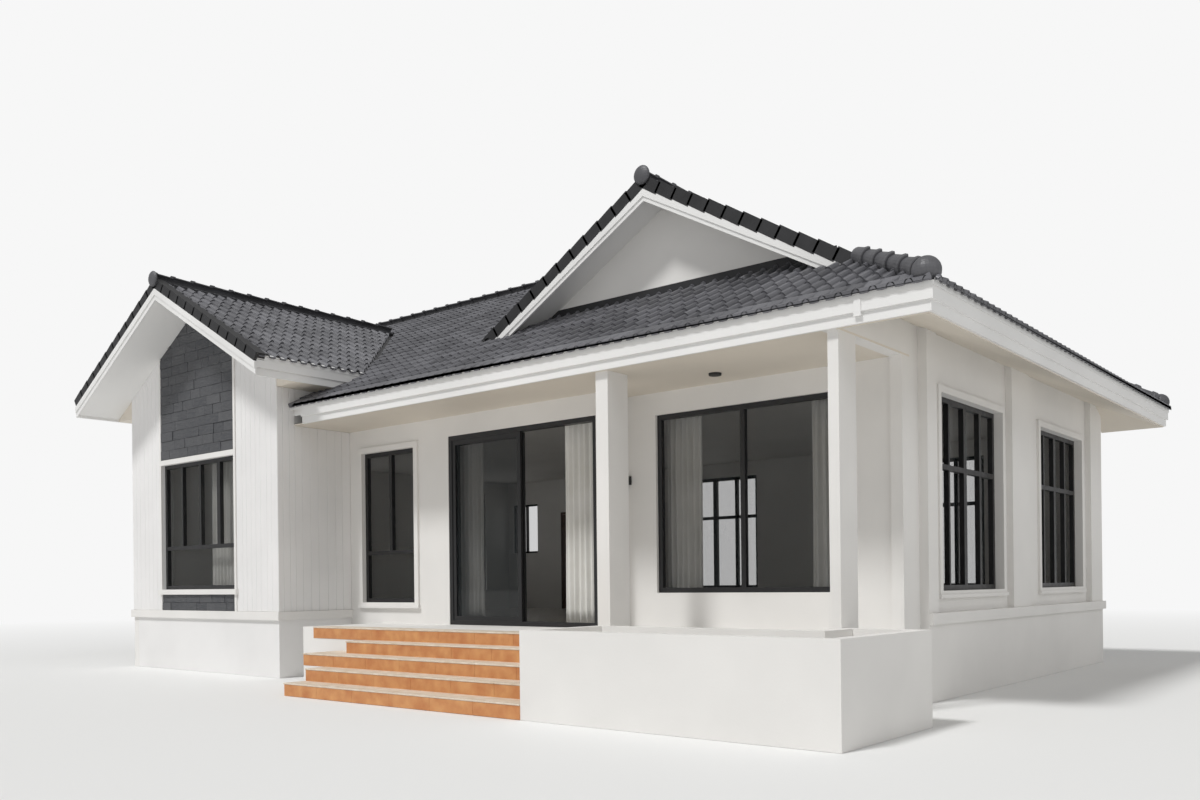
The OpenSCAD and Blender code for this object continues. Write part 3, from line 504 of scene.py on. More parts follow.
# A roll and the pan beside it: distance across, and height as a share of the roll's
ROLL_SHAPE = (
    (0.0, 0.0), (0.008, 0.4), (0.022, 0.8), (0.0425, 1.0),
    (0.063, 0.8), (0.077, 0.4), (0.085, 0.0), (0.125, -0.07),
)


def tile_course(rolls):
    """One course of tiles across a slope: its rolled top, nose and underside, as a closed strip."""
    bm = bmesh.new()
    row = []
    for n in range(rolls):
        row += [bm.verts.new((n * ROLL + s, 0, h * ROLL_HIGH)) for s, h in ROLL_SHAPE]
    for a, b in zip(row, row[1:]):
        bm.edges.new((a, b))
    back = line = bm.edges[:]
    for step in ((0, -GAUGE - NOSE_LAP, NOSE_LIFT), (0, 0, -TILE_THICK)):
        made = bmesh.ops.extrude_edge_only(bm, edges=line)["geom"]
        verts = new_verts(made)
        bmesh.ops.translate(bm, vec=step, verts=verts)
        line = [g for g in made if isinstance(g, bmesh.types.BMEdge) and set(g.verts) <= set(verts)]
    bmesh.ops.bridge_loops(bm, edges=back + line)
    return bm


# White filler that closes the pans under the first course of tiles
FILLER_FRONT, FILLER_DEEP, FILLER_HIGH = 0.004, 0.05, 0.02
fillers = []


def eave_filler(length, place, outline):
    """A strip along the foot of a slope, under the tiles."""
    bm = bmesh.new()
    box_between(bm, (0, FILLER_FRONT, 0), (length, FILLER_DEEP, FILLER_HIGH))
    move(bm, place)
    cut_to_plan(bm, outline)
    if bm.faces:
        strip = bpy.data.meshes.new("filler")
        bm.to_mesh(strip)
        fillers.append(strip)
    bm.free()


def tile_field(name, corner, along, rise, length, run, outline):
    """Tiles over one slope, from its eave corner, cut to its outline. The run is in plan."""
    along = Vector(along)
    rise = Vector(rise)
    up = (rise * math.cos(PITCH) + Vector((0, 0, math.sin(PITCH)))).normalized()
    out = along.cross(up)
    if out.z < 0:
        out = -out
    course = tile_course(round(length / ROLL) + 1)
    sheet = bpy.data.meshes.new("course")
    course.to_mesh(sheet)
    course.free()
    bm = bmesh.new()
    for row in range(math.ceil(run / math.cos(PITCH) / GAUGE)):
        seen = len(bm.verts)
        bm.from_mesh(sheet)
        bm.verts.ensure_lookup_table()
        bmesh.ops.translate(bm, vec=(0, (row + 1) * GAUGE - FIRST_DROP, 0), verts=bm.verts[seen:])
    bpy.data.meshes.remove(sheet)
    layer = bm.loops.layers.uv.new("tiles")
    for face in bm.faces:
        middle = face.calc_center_median()
        spot = (middle.x / (2 * ROLL), math.floor((middle.y + FIRST_DROP) / GAUGE) + 0.5)
        for loop in face.loops:
            loop[layer].uv = spot
    move(bm, frame_at(Vector(corner) + out * BED, along, up, out))
    cut_to_plan(bm, outline)
    bmesh.ops.recalc_face_normals(bm, faces=bm.faces)
    eave_filler(length + ROLL, frame_at(Vector(corner), along, up, out), outline)
    return piece(name, bm, roof_tile)


tile_field(
    "front_tiles", (EAVE_EAST, EAVE_FRONT, EAVE_Z),
    along=(-1, 0, 0), rise=(0, 1, 0), length=EAVE_EAST - EAVE_WEST, run=RIDGE_RUN,
    outline=[
        (EAVE_EAST, EAVE_FRONT - EAVE_OVER),
        (WALL_HIP_X, GABLE_WALL_Y),
        (WALL_VALLEY_X, GABLE_WALL_Y),
        (GABLE_X, GABLE_TOP_Y + GUTTER),
        (RIDGE_EAST, RIDGE_Y),
        (EAVE_WEST, RIDGE_Y),
        (EAVE_WEST, WING_MEET_Y + GUTTER),
        (WING_X, WING_RIDGE_END + GUTTER),
        (WING_SIDE, WING_MEET_Y + WING_EAST - WING_SIDE + GUTTER),
        (WING_SIDE, EAVE_FRONT - EAVE_OVER),
    ],
)
tile_field(
    "back_tiles", (EAVE_WEST, EAVE_BACK, EAVE_Z),
    along=(1, 0, 0), rise=(0, -1, 0), length=EAVE_EAST - EAVE_WEST, run=RIDGE_RUN,
    outline=[
        (EAVE_EAST, EAVE_BACK + EAVE_OVER),
        (RIDGE_EAST, RIDGE_Y),
        (EAVE_WEST, RIDGE_Y),
        (EAVE_WEST, EAVE_BACK + EAVE_OVER),
    ],
)
tile_field(
    "east_tiles", (EAVE_EAST, EAVE_BACK, EAVE_Z),
    along=(0, -1, 0), rise=(-1, 0, 0), length=EAVE_BACK - EAVE_FRONT, run=RIDGE_RUN,
    outline=[
        (EAVE_EAST + EAVE_OVER, EAVE_FRONT),
        (EAVE_EAST + EAVE_OVER, EAVE_BACK),
        (RIDGE_EAST, RIDGE_Y),
        (GABLE_X, GABLE_TOP_Y),
        (GABLE_X, GABLE_Y),
        (GABLE_RIGHT, GABLE_Y),
    ],
)
tile_field(
    "gable_tiles", (GABLE_X - GABLE_RUN, GABLE_Y + VERGE_STRIP, EAVE_Z),
    along=(0, 1, 0), rise=(1, 0, 0), length=GABLE_TOP_Y - GABLE_Y - VERGE_STRIP, run=GABLE_RUN,
    outline=[
        (GABLE_X, GABLE_Y),
        (GABLE_X, GABLE_TOP_Y - GUTTER),
        (GABLE_LEFT + GUTTER, GABLE_Y),
    ],
)
tile_field(
    "wing_east_tiles", (WING_EAST, WING_RIDGE_END, WING_Z),
    along=(0, -1, 0), rise=(-1, 0, 0), length=WING_RIDGE_END - WING_VERGE, run=WING_HALF,
    outline=[
        (WING_EAST + EAVE_OVER, WING_VERGE),
        (WING_EAST + EAVE_OVER, WING_MEET_Y - EAVE_OVER - GUTTER),
        (WING_X, WING_RIDGE_END - GUTTER),
        (WING_X, WING_VERGE),
    ],
)
tile_field(
    "wing_west_tiles", (EAVE_WEST, WING_VERGE + VERGE_STRIP, WING_Z),
    along=(0, 1, 0), rise=(1, 0, 0),
    length=WING_RIDGE_END - WING_VERGE - VERGE_STRIP, run=WING_HALF,
    outline=[
        (EAVE_WEST - EAVE_OVER, WING_VERGE),
        (WING_X, WING_VERGE),
        (WING_X, WING_RIDGE_END),
        (EAVE_WEST - EAVE_OVER, WING_MEET_Y - EAVE_OVER),
    ],
)

strips = bmesh.new()
for strip in fillers:
    strips.from_mesh(strip)
    bpy.data.meshes.remove(strip)
bmesh.ops.recalc_face_normals(strips, faces=strips.faces)
piece("eave_fillers", strips, white_trim)

# Round caps, each one lapping the next with a rim at its nose
CAP_R = 0.102
CAP_RIM = 0.013
CAP_TURN = math.radians(232)
CAP_PITCH, CAP_LAP = 0.33, 0.04
CAP_LIFT = 0.06
# How far the caps and the flattened ball behind the last one stand out over a gable
CAP_OUT, CLOSER_OUT, CLOSER_DEPTH = 0.05, 0.06, 0.35
# The ball at the foot of a hip, and how far in from the eave it and the last cap sit
BALL_R, BALL_IN, HIP_END = 0.13, 0.1, 0.17


def add_cap(bm, start, end, lap):
    """One cap from its back to its nose, which is the lower or outer end."""
    start, end = Vector(start), Vector(end)
    run = (end - start).normalized()
    side = run.cross(Vector((0, 0, 1))).normalized()
    top = side.cross(run)
    length = (end - start).length + lap
    section = (
        (0, CAP_R - 0.014), (length - 0.085, CAP_R), (length - 0.075, CAP_R + CAP_RIM),
        (length - 0.005, CAP_R + CAP_RIM), (length, CAP_R + 0.004), (length, CAP_R - 0.012),
        (0.0, CAP_R - 0.03),
    )
    first = Matrix.Rotation(-CAP_TURN / 2, 3, "X")
    verts = [bm.verts.new(first @ Vector((x, 0, r))) for x, r in section]
    edges = [bm.edges.new(pair) for pair in zip(verts, verts[1:] + verts[:1])]
    bmesh.ops.spin(
        bm, geom=verts + edges, angle=CAP_TURN, steps=14, axis=(-1, 0, 0), cent=(0, 0, 0),
    )
    made = island(verts[0])
    rim = [e for e in {e for v in made for e in v.link_edges} if e.is_boundary]
    bmesh.ops.holes_fill(bm, edges=rim, sides=0)
    move(bm, frame_at(start, run, side * -1, top), list(made))


def cap_run(bm, back, nose):
    """Caps from one end of a ridge or hip to the other, over the line of the slopes."""
    lift = Vector((0, 0, CAP_LIFT))
    back, nose = Vector(back) + lift, Vector(nose) + lift
    count = max(1, round((nose - back).length / CAP_PITCH))
    for n in range(count):
        last = n == count - 1
        start, end = back.lerp(nose, n / count), back.lerp(nose, (n + 1) / count)
        add_cap(bm, start, end, 0.0 if last else CAP_LAP)


def cap_end(bm, place, radius, rings, depth=1.0):
    """A ball that closes a run of caps, flattened along y where depth is less than 1."""
    ball = bmesh.ops.create_uvsphere(bm, u_segments=24, v_segments=rings, radius=radius)["verts"]
    bmesh.ops.scale(bm, vec=(1, depth, 1), verts=ball)
    bmesh.ops.translate(bm, vec=Vector(place) + Vector((0, 0, CAP_LIFT)), verts=ball)


def hip(run, back=False):
    """A point on the east hips, by its distance in from the eave."""
    y = EAVE_BACK - run if back else EAVE_FRONT + run
    return (EAVE_EAST - run, y, EAVE_Z + run * RISE)


caps = bmesh.new()
cap_run(caps, (RIDGE_EAST, RIDGE_Y, RIDGE_Z), (EAVE_WEST, RIDGE_Y, RIDGE_Z))
cap_run(caps, hip(EAVE_EAST - GABLE_RIGHT), hip(HIP_END))
cap_run(caps, hip(RIDGE_RUN), hip(GABLE_RUN))
cap_run(caps, hip(RIDGE_RUN, True), hip(HIP_END, True))
cap_run(caps, (GABLE_X, GABLE_TOP_Y, GABLE_Z), (GABLE_X, GABLE_Y - CAP_OUT, GABLE_Z))
cap_run(caps, (WING_X, WING_RIDGE_END, WING_RIDGE_Z), (WING_X, WING_VERGE - CAP_OUT, WING_RIDGE_Z))
for place in (hip(BALL_IN), hip(BALL_IN, True)):
    cap_end(caps, place, BALL_R, 16)
for x, y, z in ((GABLE_X, GABLE_Y, GABLE_Z), (WING_X, WING_VERGE, WING_RIDGE_Z)):
    cap_end(caps, (x, y - CLOSER_OUT, z), CAP_R + CAP_RIM, 12, CLOSER_DEPTH)
bmesh.ops.recalc_face_normals(caps, faces=caps.faces)
piece("stepped_caps", caps, cap_tile_painted_light, stands_for=["ridge_caps"])

# Verge tiles, boxed over the gable edges: width, height, rise over the slope, walls and lap
VERGE_W, VERGE_FLAP, VERGE_UP = 0.15, 0.148, 0.06
VERGE_WALL, VERGE_TOP, VERGE_LAP = 0.02, 0.03, 0.03
VERGE_OUT = 0.012
VERGE_TILT = math.radians(3.5)
# How far the verge boards stand out over a gable, and the verge tiles over the front gable
VERGE_BOARD, GABLE_VERGE = 0.03, 0.035


def verge_run(bm, apex, outward, sideways, half):
    """Boxed verge tiles from the apex down one side of a gable."""
    outward, sideways = Vector(outward), Vector(sideways)
    down = sideways * math.cos(PITCH) - Vector((0, 0, math.sin(PITCH)))
    out = Vector((0, 0, 1)) * math.cos(PITCH) + sideways * math.sin(PITCH)
    length = half / math.cos(PITCH)
    count = round(length / GAUGE)
    gauge = length / count
    centre = out * (VERGE_UP - VERGE_FLAP / 2) + outward * (VERGE_OUT - VERGE_W / 2)
    for n in range(count):
        size = Matrix.Diagonal((gauge + VERGE_LAP, VERGE_W, VERGE_FLAP, 1))
        made = bmesh.ops.create_cube(bm, size=1, matrix=size)["verts"]
        faces = {f for v in made for f in v.link_faces}
        hollow = [min(faces, key=lambda f: f.calc_center_median().z)]
        bmesh.ops.inset_region(bm, faces=hollow, thickness=VERGE_WALL, depth=0)
        floor = bmesh.ops.extrude_discrete_faces(bm, faces=hollow)["faces"]
        bmesh.ops.translate(bm, vec=(0, 0, VERGE_FLAP - VERGE_TOP), verts=floor[0].verts)
        middle = Vector(apex) + down * (gauge * (n + 0.5)) + centre
        tilt = Matrix.Rotation(VERGE_TILT, 4, "Y")
        move(bm, frame_at(middle, down, outward, out) @ tilt, list(island(made[0])))


verges = bmesh.new()
for apex, left_half, right_half in (
    ((GABLE_X, GABLE_Y - GABLE_VERGE, GABLE_Z), GABLE_X - GABLE_LEFT, GABLE_RIGHT - GABLE_X),
    ((WING_X, WING_VERGE - VERGE_BOARD, WING_RIDGE_Z), WING_HALF, WING_HALF),
):
    verge_run(verges, apex, (0, -1, 0), (-1, 0, 0), left_half)
    verge_run(verges, apex, (0, -1, 0), (1, 0, 0), right_half)
west_apex = (EAVE_WEST - VERGE_BOARD, RIDGE_Y, RIDGE_Z)
verge_run(verges, west_apex, (-1, 0, 0), (0, 1, 0), EAVE_BACK - RIDGE_Y)
verge_run(verges, west_apex, (-1, 0, 0), (0, -1, 0), RIDGE_Y - WING_MEET_Y)
bmesh.ops.recalc_face_normals(verges, faces=verges.faces)
piece("verge_tiles", verges, verge_tile, stands_for=["verge_covers"])


def under_wing_roof(bm, gap=0.002):
    """Trims what stands under the two slopes of the wing roof."""
    trim_above(bm, (WING_EAST, 0, WING_SOFFIT_Z - gap), (math.sin(PITCH), 0, math.cos(PITCH)))
    trim_above(bm, (EAVE_WEST, 0, WING_SOFFIT_Z - gap), (-math.sin(PITCH), 0, math.cos(PITCH)))


def widths(total, least, most):
    """Random widths that fill a length."""
    made = []
    while sum(made) < total:
        made.append(draw.uniform(least, most))
    scale = total / sum(made)
    return [w * scale for w in made]


# Upright boards of the wing, over its front and the side towards the porch
BOARD_T = 0.014
BOARD_EDGE, BOARD_JOINT = 0.005, 0.001
BOARD_LEAST, BOARD_MOST = 0.11, 0.17
# The upright strips beside the wing window, the front eave's soffit on the side wall,
# and a height above the wing roof, which trims the front boards
SIDE_STRIP = 0.05
EAVE_EDGE = -0.03
OVER_ROOF = 6.0


def board_wall(bm, start, end, place, top):
    """Upright boards from one position to another; place turns a span into two corners."""
    at = start
    for width in widths(end - start, BOARD_LEAST, BOARD_MOST):
        low, high = place(at + BOARD_JOINT, at + width - BOARD_JOINT, top)
        box_between(bm, low, high, BOARD_EDGE)
        at += width


def front_board(x0, x1, z):
    return (x0, WING_FRONT - BOARD_T, LEDGE_TOP), (x1, WING_FRONT + 0.004, z)


def side_board(y0, y1, z):
    return (WING_SIDE - 0.004, y0, LEDGE_TOP), (WING_SIDE + BOARD_T, y1, z)


boards = bmesh.new()
board_wall(boards, WEST, WING_WINDOW[0] - SIDE_STRIP, front_board, OVER_ROOF)
board_wall(boards, WING_WINDOW[1] + SIDE_STRIP, WING_SIDE, front_board, OVER_ROOF)
under_wing_roof(boards)
board_wall(boards, WING_FRONT - BOARD_T, EAVE_EDGE, side_board, WING_SOFFIT_Z)
board_wall(boards, EAVE_EDGE, DOOR_WALL_Y, side_board, CEILING_Z)
piece("wing_boards", boards, wing_paint)

# Split slate above and below the wing window
STONE_H = 0.15
STONE_LEAST, STONE_MOST = 0.24, 0.46
STONE_NEAR, STONE_FAR = 0.017, 0.028
STONE_JOINT, STONE_EDGE, STONE_ROUGH = 0.0015, 0.004, 0.0025
STONE_TOP = 5.69
SLATE_BED = 0.006


def stone_rows(bm, low, high):
    """Rows of stones of uneven length and depth, over a dark bed."""
    (x0, z0), (x1, z1) = low, high
    box_between(bm, (x0, WING_FRONT - SLATE_BED, z0), (x1, WING_FRONT + 0.002, z1))
    rows = max(1, round((z1 - z0) / STONE_H))
    tall = (z1 - z0) / rows
    for row in range(rows):
        at = x0
        for width in widths(x1 - x0, STONE_LEAST, STONE_MOST):
            face = WING_FRONT - draw.uniform(STONE_NEAR, STONE_FAR)
            z = z0 + row * tall
            low_corner = (at + STONE_JOINT, face, z + STONE_JOINT)
            high_corner = (at + width - STONE_JOINT, WING_FRONT - 0.004, z + tall - STONE_JOINT)
            box_between(bm, low_corner, high_corner, STONE_EDGE)
            at += width


stones = bmesh.new()
stone_rows(stones, (WING_WINDOW[0], WING_WINDOW[3] + TRIM), (WING_WINDOW[1], STONE_TOP))
stone_rows(stones, (WING_WINDOW[0], LEDGE_TOP), (WING_WINDOW[1], WING_WINDOW[2] - TRIM))
under_wing_roof(stones)
cells = stones.loops.layers.uv.new("stones")
seen = set()
number = 0
for start in stones.faces:
    if start in seen:
        continue
    number += 1
    stone_faces = {f for v in island(start.verts[0]) for f in v.link_faces}
    seen |= stone_faces
    for face in stone_faces:
        for loop in face.loops:
            loop[cells].uv = (number * 0.37, number * 0.11)
for vert in stones.verts:
    if vert.co.y < WING_FRONT - 0.012:
        vert.co.y += draw.uniform(-STONE_ROUGH, STONE_ROUGH)
piece("slate_stones", stones, slate, stands_for=["slate_panels"])

# Upper boards of the gables, standing out over the lower half of each verge board
BAND_T = 0.014
BAND_HIGH, GABLE_BAND_LOW, WING_BAND_LOW = 0.08, 0.185, 0.172
GABLE_BAND_SHORT = 0.16


def gable_band(bm, apex, half, high, low):
    """Two sloping boards that meet under an apex, between two depths under the tiles."""
    for side in (1, -1):
        foot = Vector((side * half, 0, -half * RISE))
        over, under = Vector((0, 0, -high)), Vector((0, 0, -low))
        ring = [over, foot + over, foot + under, under]
        face = bm.faces.new([bm.verts.new(Vector(apex) + p) for p in ring])
        made = bmesh.ops.extrude_face_region(bm, geom=[face])["geom"]
        bmesh.ops.translate(bm, vec=(0, -BAND_T, 0), verts=new_verts(made))


bands = bmesh.new()
wing_apex = (WING_X, WING_VERGE - VERGE_BOARD, WING_RIDGE_Z)
gable_apex = (GABLE_X, GABLE_Y - VERGE_BOARD, GABLE_Z)
gable_half = GABLE_X - GABLE_LEFT - GABLE_BAND_SHORT
gable_band(bands, wing_apex, WING_HALF, BAND_HIGH, WING_BAND_LOW)
gable_band(bands, gable_apex, gable_half, BAND_HIGH, GABLE_BAND_LOW)
bmesh.ops.recalc_face_normals(bands, faces=bands.faces)
piece("gable_bands", bands, white_trim)

# Dark metal in the valleys and at the foot of the recessed gable wall
VALLEY_SIDE, VALLEY_FOLD, VALLEY_CREST, VALLEY_SEAT = 0.12, 0.02, 0.012, 0.006
METAL_T = 0.002
BASE_HIGH, BASE_HALF = 0.125, 2.27


def valley(bm, low, high, first_rise, second_rise):
    """A folded strip in a valley, lying on two slopes given by their plan directions of rise."""
    low, high = Vector(low), Vector(high)
    run = (high - low).normalized()
    halves = []
    for rise in (first_rise, second_rise):
        up = Vector((rise[0], rise[1], RISE)).normalized()
        level = Vector((-rise[1], rise[0], 0))
        out = up.cross(level)
        if out.z < 0:
            out = -out
        side = run.cross(out)
        if side.dot(up) < 0:
            side = -side
        halves.append([side * reach + out * VALLEY_SEAT for reach in (VALLEY_SIDE, VALLEY_FOLD)])
    line = [*halves[0], Vector((0, 0, VALLEY_CREST)), *reversed(halves[1])]
    verts = [bm.verts.new(low + p) for p in line]
    edges = [bm.edges.new(pair) for pair in zip(verts, verts[1:])]
    made = bmesh.ops.extrude_edge_only(bm, edges=edges)["geom"]
    bmesh.ops.translate(bm, vec=high - low, verts=new_verts(made))


metal = bmesh.new()
wing_top = (WING_X, WING_RIDGE_END, WING_RIDGE_Z)
valley(metal, (WING_EAST, WING_MEET_Y, WING_Z), wing_top, (0, 1), (-1, 0))
valley(metal, (EAVE_WEST, WING_MEET_Y, WING_Z), wing_top, (0, 1), (1, 0))
gable_foot = (GABLE_LEFT, GABLE_Y, EAVE_Z + (GABLE_Y - EAVE_FRONT) * RISE)
valley(metal, gable_foot, (GABLE_X, GABLE_TOP_Y, GABLE_Z), (0, 1), (1, 0))
bmesh.ops.recalc_face_normals(metal, faces=metal.faces)
bmesh.ops.solidify(metal, geom=metal.faces[:], thickness=METAL_T)
wall_z = EAVE_Z + (GABLE_WALL_Y - EAVE_FRONT) * RISE
box_between(
    metal,
    (GABLE_X - BASE_HALF, GABLE_WALL_Y - 0.014, wall_z - 0.01),
    (GABLE_X + BASE_HALF, GABLE_WALL_Y + 0.002, wall_z + BASE_HIGH),
    METAL_T,
)
bmesh.ops.recalc_face_normals(metal, faces=metal.faces)
piece("valley_flashing", metal, flashing)

# Clay tiles on the risers and cream tiles on the treads
STEP_RIGHT, STEP_FRONT, TREAD, RISER = -2.52, -0.43, 0.3, 0.15
STEP_LEFTS = (-6.4, -6.4, -6.88, -6.4, -7.52)
TILE_LONG = 0.6
SKIN, NOSING = 0.006, 0.012
RISER_EDGE, TREAD_EDGE = 0.0012, 0.003
# Joints, how far a tile sinks into its step, and the edge of a tread tile: how far under the
# step's height it starts and how far over the riser tile it ends
STEP_GAP, STEP_SINK, LIP_UNDER, LIP_OVER = 0.001, 0.003, 0.014, 0.018


def step_tiles(risers, treads):
    """Rows of riser and tread tiles on each step, and one of each on its left end."""
    for n, left in enumerate(STEP_LEFTS):
        front = STEP_FRONT - (len(STEP_LEFTS) - 1 - n) * TREAD
        low, high = n * RISER + 2 * STEP_GAP, (n + 1) * RISER - LIP_UNDER
        lip_low, lip_high = high + STEP_GAP, high + LIP_OVER
        count = round((STEP_RIGHT - left) / TILE_LONG)
        long = (STEP_RIGHT - left) / count
        back = front + TREAD + 2 * STEP_GAP
        for tile in range(count):
            x0, x1 = left + tile * long + STEP_GAP, left + (tile + 1) * long - STEP_GAP
            box_between(risers, (x0, front - SKIN, low), (x1, front + STEP_SINK, high), RISER_EDGE)
            box_between(treads, (x0, front - NOSING, lip_low), (x1, back, lip_high), TREAD_EDGE)
        if n < len(STEP_LEFTS) - 1:
            near, far, end = front + STEP_GAP, STEP_FRONT - STEP_GAP, left + STEP_SINK
            box_between(risers, (left - SKIN, near, low), (end, far, high), RISER_EDGE)
            lip_corner = (left - NOSING, front - NOSING, lip_low)
            box_between(treads, lip_corner, (end, STEP_FRONT, lip_high), TREAD_EDGE)


risers = bmesh.new()
treads = bmesh.new()
step_tiles(risers, treads)
piece("riser_tiles", risers, clay_tile)
piece("tread_tiles", treads, cream_tile)

# Curtains: pleated sheets that hang from their rails
FOLD_PITCH, FOLD_DEEP = 0.092, 0.034
HANG_LOW, HANG_HIGH = 0.77, 3.57
CLOTH_T = 0.0012


def pleat(x0, x1, y, u, v):
    """A point on a curtain: u runs across it and v down from the rail."""
    folds = round((x1 - x0) / FOLD_PITCH)
    phase = u * folds * 2 * math.pi
    deep = FOLD_DEEP * (0.55 + 0.45 * min(1, v * 5)) * (0.85 + 0.15 * math.sin(u * 17 + x0 * 5))
    drift = 0.35 * v * math.sin(u * 9 + x0 * 3)
    sway = 0.006 * v * math.sin(2.2 * phase / folds + v * 5)
    x = x0 + u * (x1 - x0) + sway
    return Vector((x, y + deep * math.sin(phase + drift), HANG_HIGH - v * (HANG_HIGH - HANG_LOW)))


def curtain(name, x0, x1, y):
    """One curtain as a fine grid, bent into folds."""
    folds = round((x1 - x0) / FOLD_PITCH)
    bm = bmesh.new()
    bmesh.ops.create_grid(bm, x_segments=folds * 12, y_segments=14, size=0.5)
    for vert in bm.verts:
        vert.co = pleat(x0, x1, y, vert.co.x + 0.5, 0.5 - vert.co.y)
    made = piece(name, bm, curtain_cloth, smooth=True)
    thick = made.modifiers.new("cloth", "SOLIDIFY")
    thick.thickness = CLOTH_T
    return made


def curtain_pair(node):
    """The two curtains that take the place of a node's two solids."""
    data = nodes[node].data
    xs = sorted({round(v.co.x - HOUSE.x, 4) for v in data.vertices})
    low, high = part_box(node)
    y = (low.y + high.y) / 2 - HOUSE.y
    left = curtain(node + "_left", xs[0] + 0.01, xs[1] - 0.01, y)
    curtain(node + "_right", xs[2] + 0.01, xs[3] - 0.01, y)
    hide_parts(node)


for name in ("wing_curtains", "door_curtains", "porch_curtains"):
    curtain_pair(name)

# Soffits: flat over the porch and along the back, and raked up to the wall on the east side
RAKE = 0.42
RAKE_FRONT, RAKE_BACK, RAKE_EAST = -0.035, 9.035, 0.875
RAKE_DEEP = RAKE_BACK - RAKE_FRONT
RAKE_T = 0.012
HOUSE_BACK = 8.57
PIER_FACE, BAY_FACE = 0.1, 0.02
EAST_PIERS = ((1.8, 2.06), (4.46, 5.11), (7.98, HOUSE_BACK))
PORCH_WALL_BACK = 1.8


def rake_height(x, y):
    """Height of the raked soffit over a plan point: it rises inwards from three eaves."""
    return CEILING_Z + RAKE * min(RAKE_EAST - x, y - RAKE_FRONT, RAKE_BACK - y)


def under_rake(bm):
    """Trims what stands under the ends of the raked soffit."""
    trim_above(bm, (0, RAKE_FRONT, CEILING_Z + RAKE_T / 2), (0, -RAKE, 1))
    trim_above(bm, (0, RAKE_BACK, CEILING_Z + RAKE_T / 2), (0, RAKE, 1))


raked = bmesh.new()
bmesh.ops.create_grid(raked, x_segments=1, y_segments=1, size=0.5)
centre = Matrix.Translation((RAKE_EAST / 2, RAKE_FRONT + RAKE_DEEP / 2, 0))
move(raked, centre @ Matrix.Diagonal((RAKE_EAST, RAKE_DEEP, 1, 1)))
for end, turn in ((RAKE_FRONT, 1), (RAKE_BACK, -1)):
    bisect(raked, (RAKE_EAST, end, 0), (1, turn, 0), dist=1e-6)
for vert in raked.verts:
    vert.co.z = rake_height(vert.co.x, vert.co.y)
bmesh.ops.solidify(raked, geom=raked.faces[:], thickness=RAKE_T)
flat_part = bmesh.new()
flat_part.from_mesh(nodes["eave_soffit"].data)
bmesh.ops.remove_doubles(flat_part, verts=flat_part.verts, dist=1e-5)
bmesh.ops.translate(flat_part, vec=-HOUSE, verts=flat_part.verts)
trim_above(flat_part, (0, 0, 0), (1, 0, 0))
flat_mesh = bpy.data.meshes.new("flat")
flat_part.to_mesh(flat_mesh)
flat_part.free()
raked.from_mesh(flat_mesh)
bpy.data.meshes.remove(flat_mesh)
bmesh.ops.recalc_face_normals(raked, faces=raked.faces)
piece("eave_soffit_boards", raked, soffit_paint, stands_for=["eave_soffit"])

# The heads of the east piers, the side beam over the porch and the board behind the house.
# Their faces stand a little off the walls' own, so that no two lie in one plane.
OFF_WALL = 0.001
BEAM_T, END_T = 0.15, 0.03
HEAD_OVER = 0.004

heads = bmesh.new()
top = CEILING_Z + RAKE * RAKE_EAST + HEAD_OVER
under = CEILING_Z - OFF_WALL
for low_y, high_y in EAST_PIERS:
    near = (-OFF_WALL, low_y - OFF_WALL, CEILING_Z)
    box_between(heads, near, (PIER_FACE, high_y + OFF_WALL, top))
beam_far = (-OFF_WALL / 2, PORCH_WALL_BACK - OFF_WALL / 2, top)
box_between(heads, (-BEAM_T, RAKE_FRONT, under), beam_far)
box_between(heads, (-END_T, HOUSE_BACK, under), (OFF_WALL / 2, RAKE_BACK, top))
under_rake(heads)
piece("pier_heads", heads, white_render)

# The foot of the east wall beside the corner pier, where the solid has a notch: its thickness,
# its length, how far it sinks into what is round it, and its height at the pier
FOOT_T, FOOT_LONG, FOOT_SINK, FOOT_HIGH = 0.1, 0.5, 0.01, 0.268

foot = bmesh.new()
pier_back = EAST_PIERS[0][1]
box_between(
    foot,
    (BAY_FACE - FOOT_T, pier_back - FOOT_SINK, LEDGE_TOP - FOOT_SINK),
    (BAY_FACE + OFF_WALL, pier_back + FOOT_LONG, LEDGE_TOP + FOOT_HIGH + 2 * FOOT_SINK),
)
trim_above(foot, (0, pier_back, LEDGE_TOP + FOOT_HIGH), (0, math.sin(PITCH), math.cos(PITCH)))
piece("wall_foot", foot, white_render)

# The ring round the ceiling lamp
fittings = bmesh.new()
low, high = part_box("ceiling_lamp")
middle = (low + high) / 2 - HOUSE
section = ((0.0, 0.0), (0.045, 0.0), (0.05, -0.012), (0.068, -0.016), (0.072, -0.008), (0.072, 0.0))
verts = [fittings.verts.new((middle.x + r, middle.y, CEILING_Z - 0.004 + z)) for r, z in section]
edges = [fittings.edges.new(pair) for pair in zip(verts, verts[1:])]
bmesh.ops.spin(
    fittings, geom=verts + edges, angle=math.tau, steps=40, axis=(0, 0, 1), cent=middle,
    use_merge=True,
)
bmesh.ops.remove_doubles(fittings, verts=fittings.verts, dist=1e-5)
bmesh.ops.recalc_face_normals(fittings, faces=fittings.faces)
piece("ceiling_lamp_ring", fittings, lamp_black)

# The lever and the planks of the back door, on its outer face
LEVER_Z, LEVER_IN = 1.8, 0.07
LEVER_LONG, LEVER_HALF = 0.12, 0.009
LEVER_NEAR, LEVER_FAR = 0.034, 0.05
PLATE_HALF_W, PLATE_HALF_H, PLATE_T = 0.022, 0.1, 0.008
LEVER_EDGE, GRIP_EDGE = 0.003, 0.004
DOOR_OUT_Y = 8.46
HINGE_STILE = 0.019
PLANKS, PLANK_LOW, PLANK_HIGH = 6, 0.765, 2.81
PLANK_GAP, PLANK_SINK, PLANK_OUT, PLANK_EDGE = 0.0015, 0.004, 0.006, 0.003

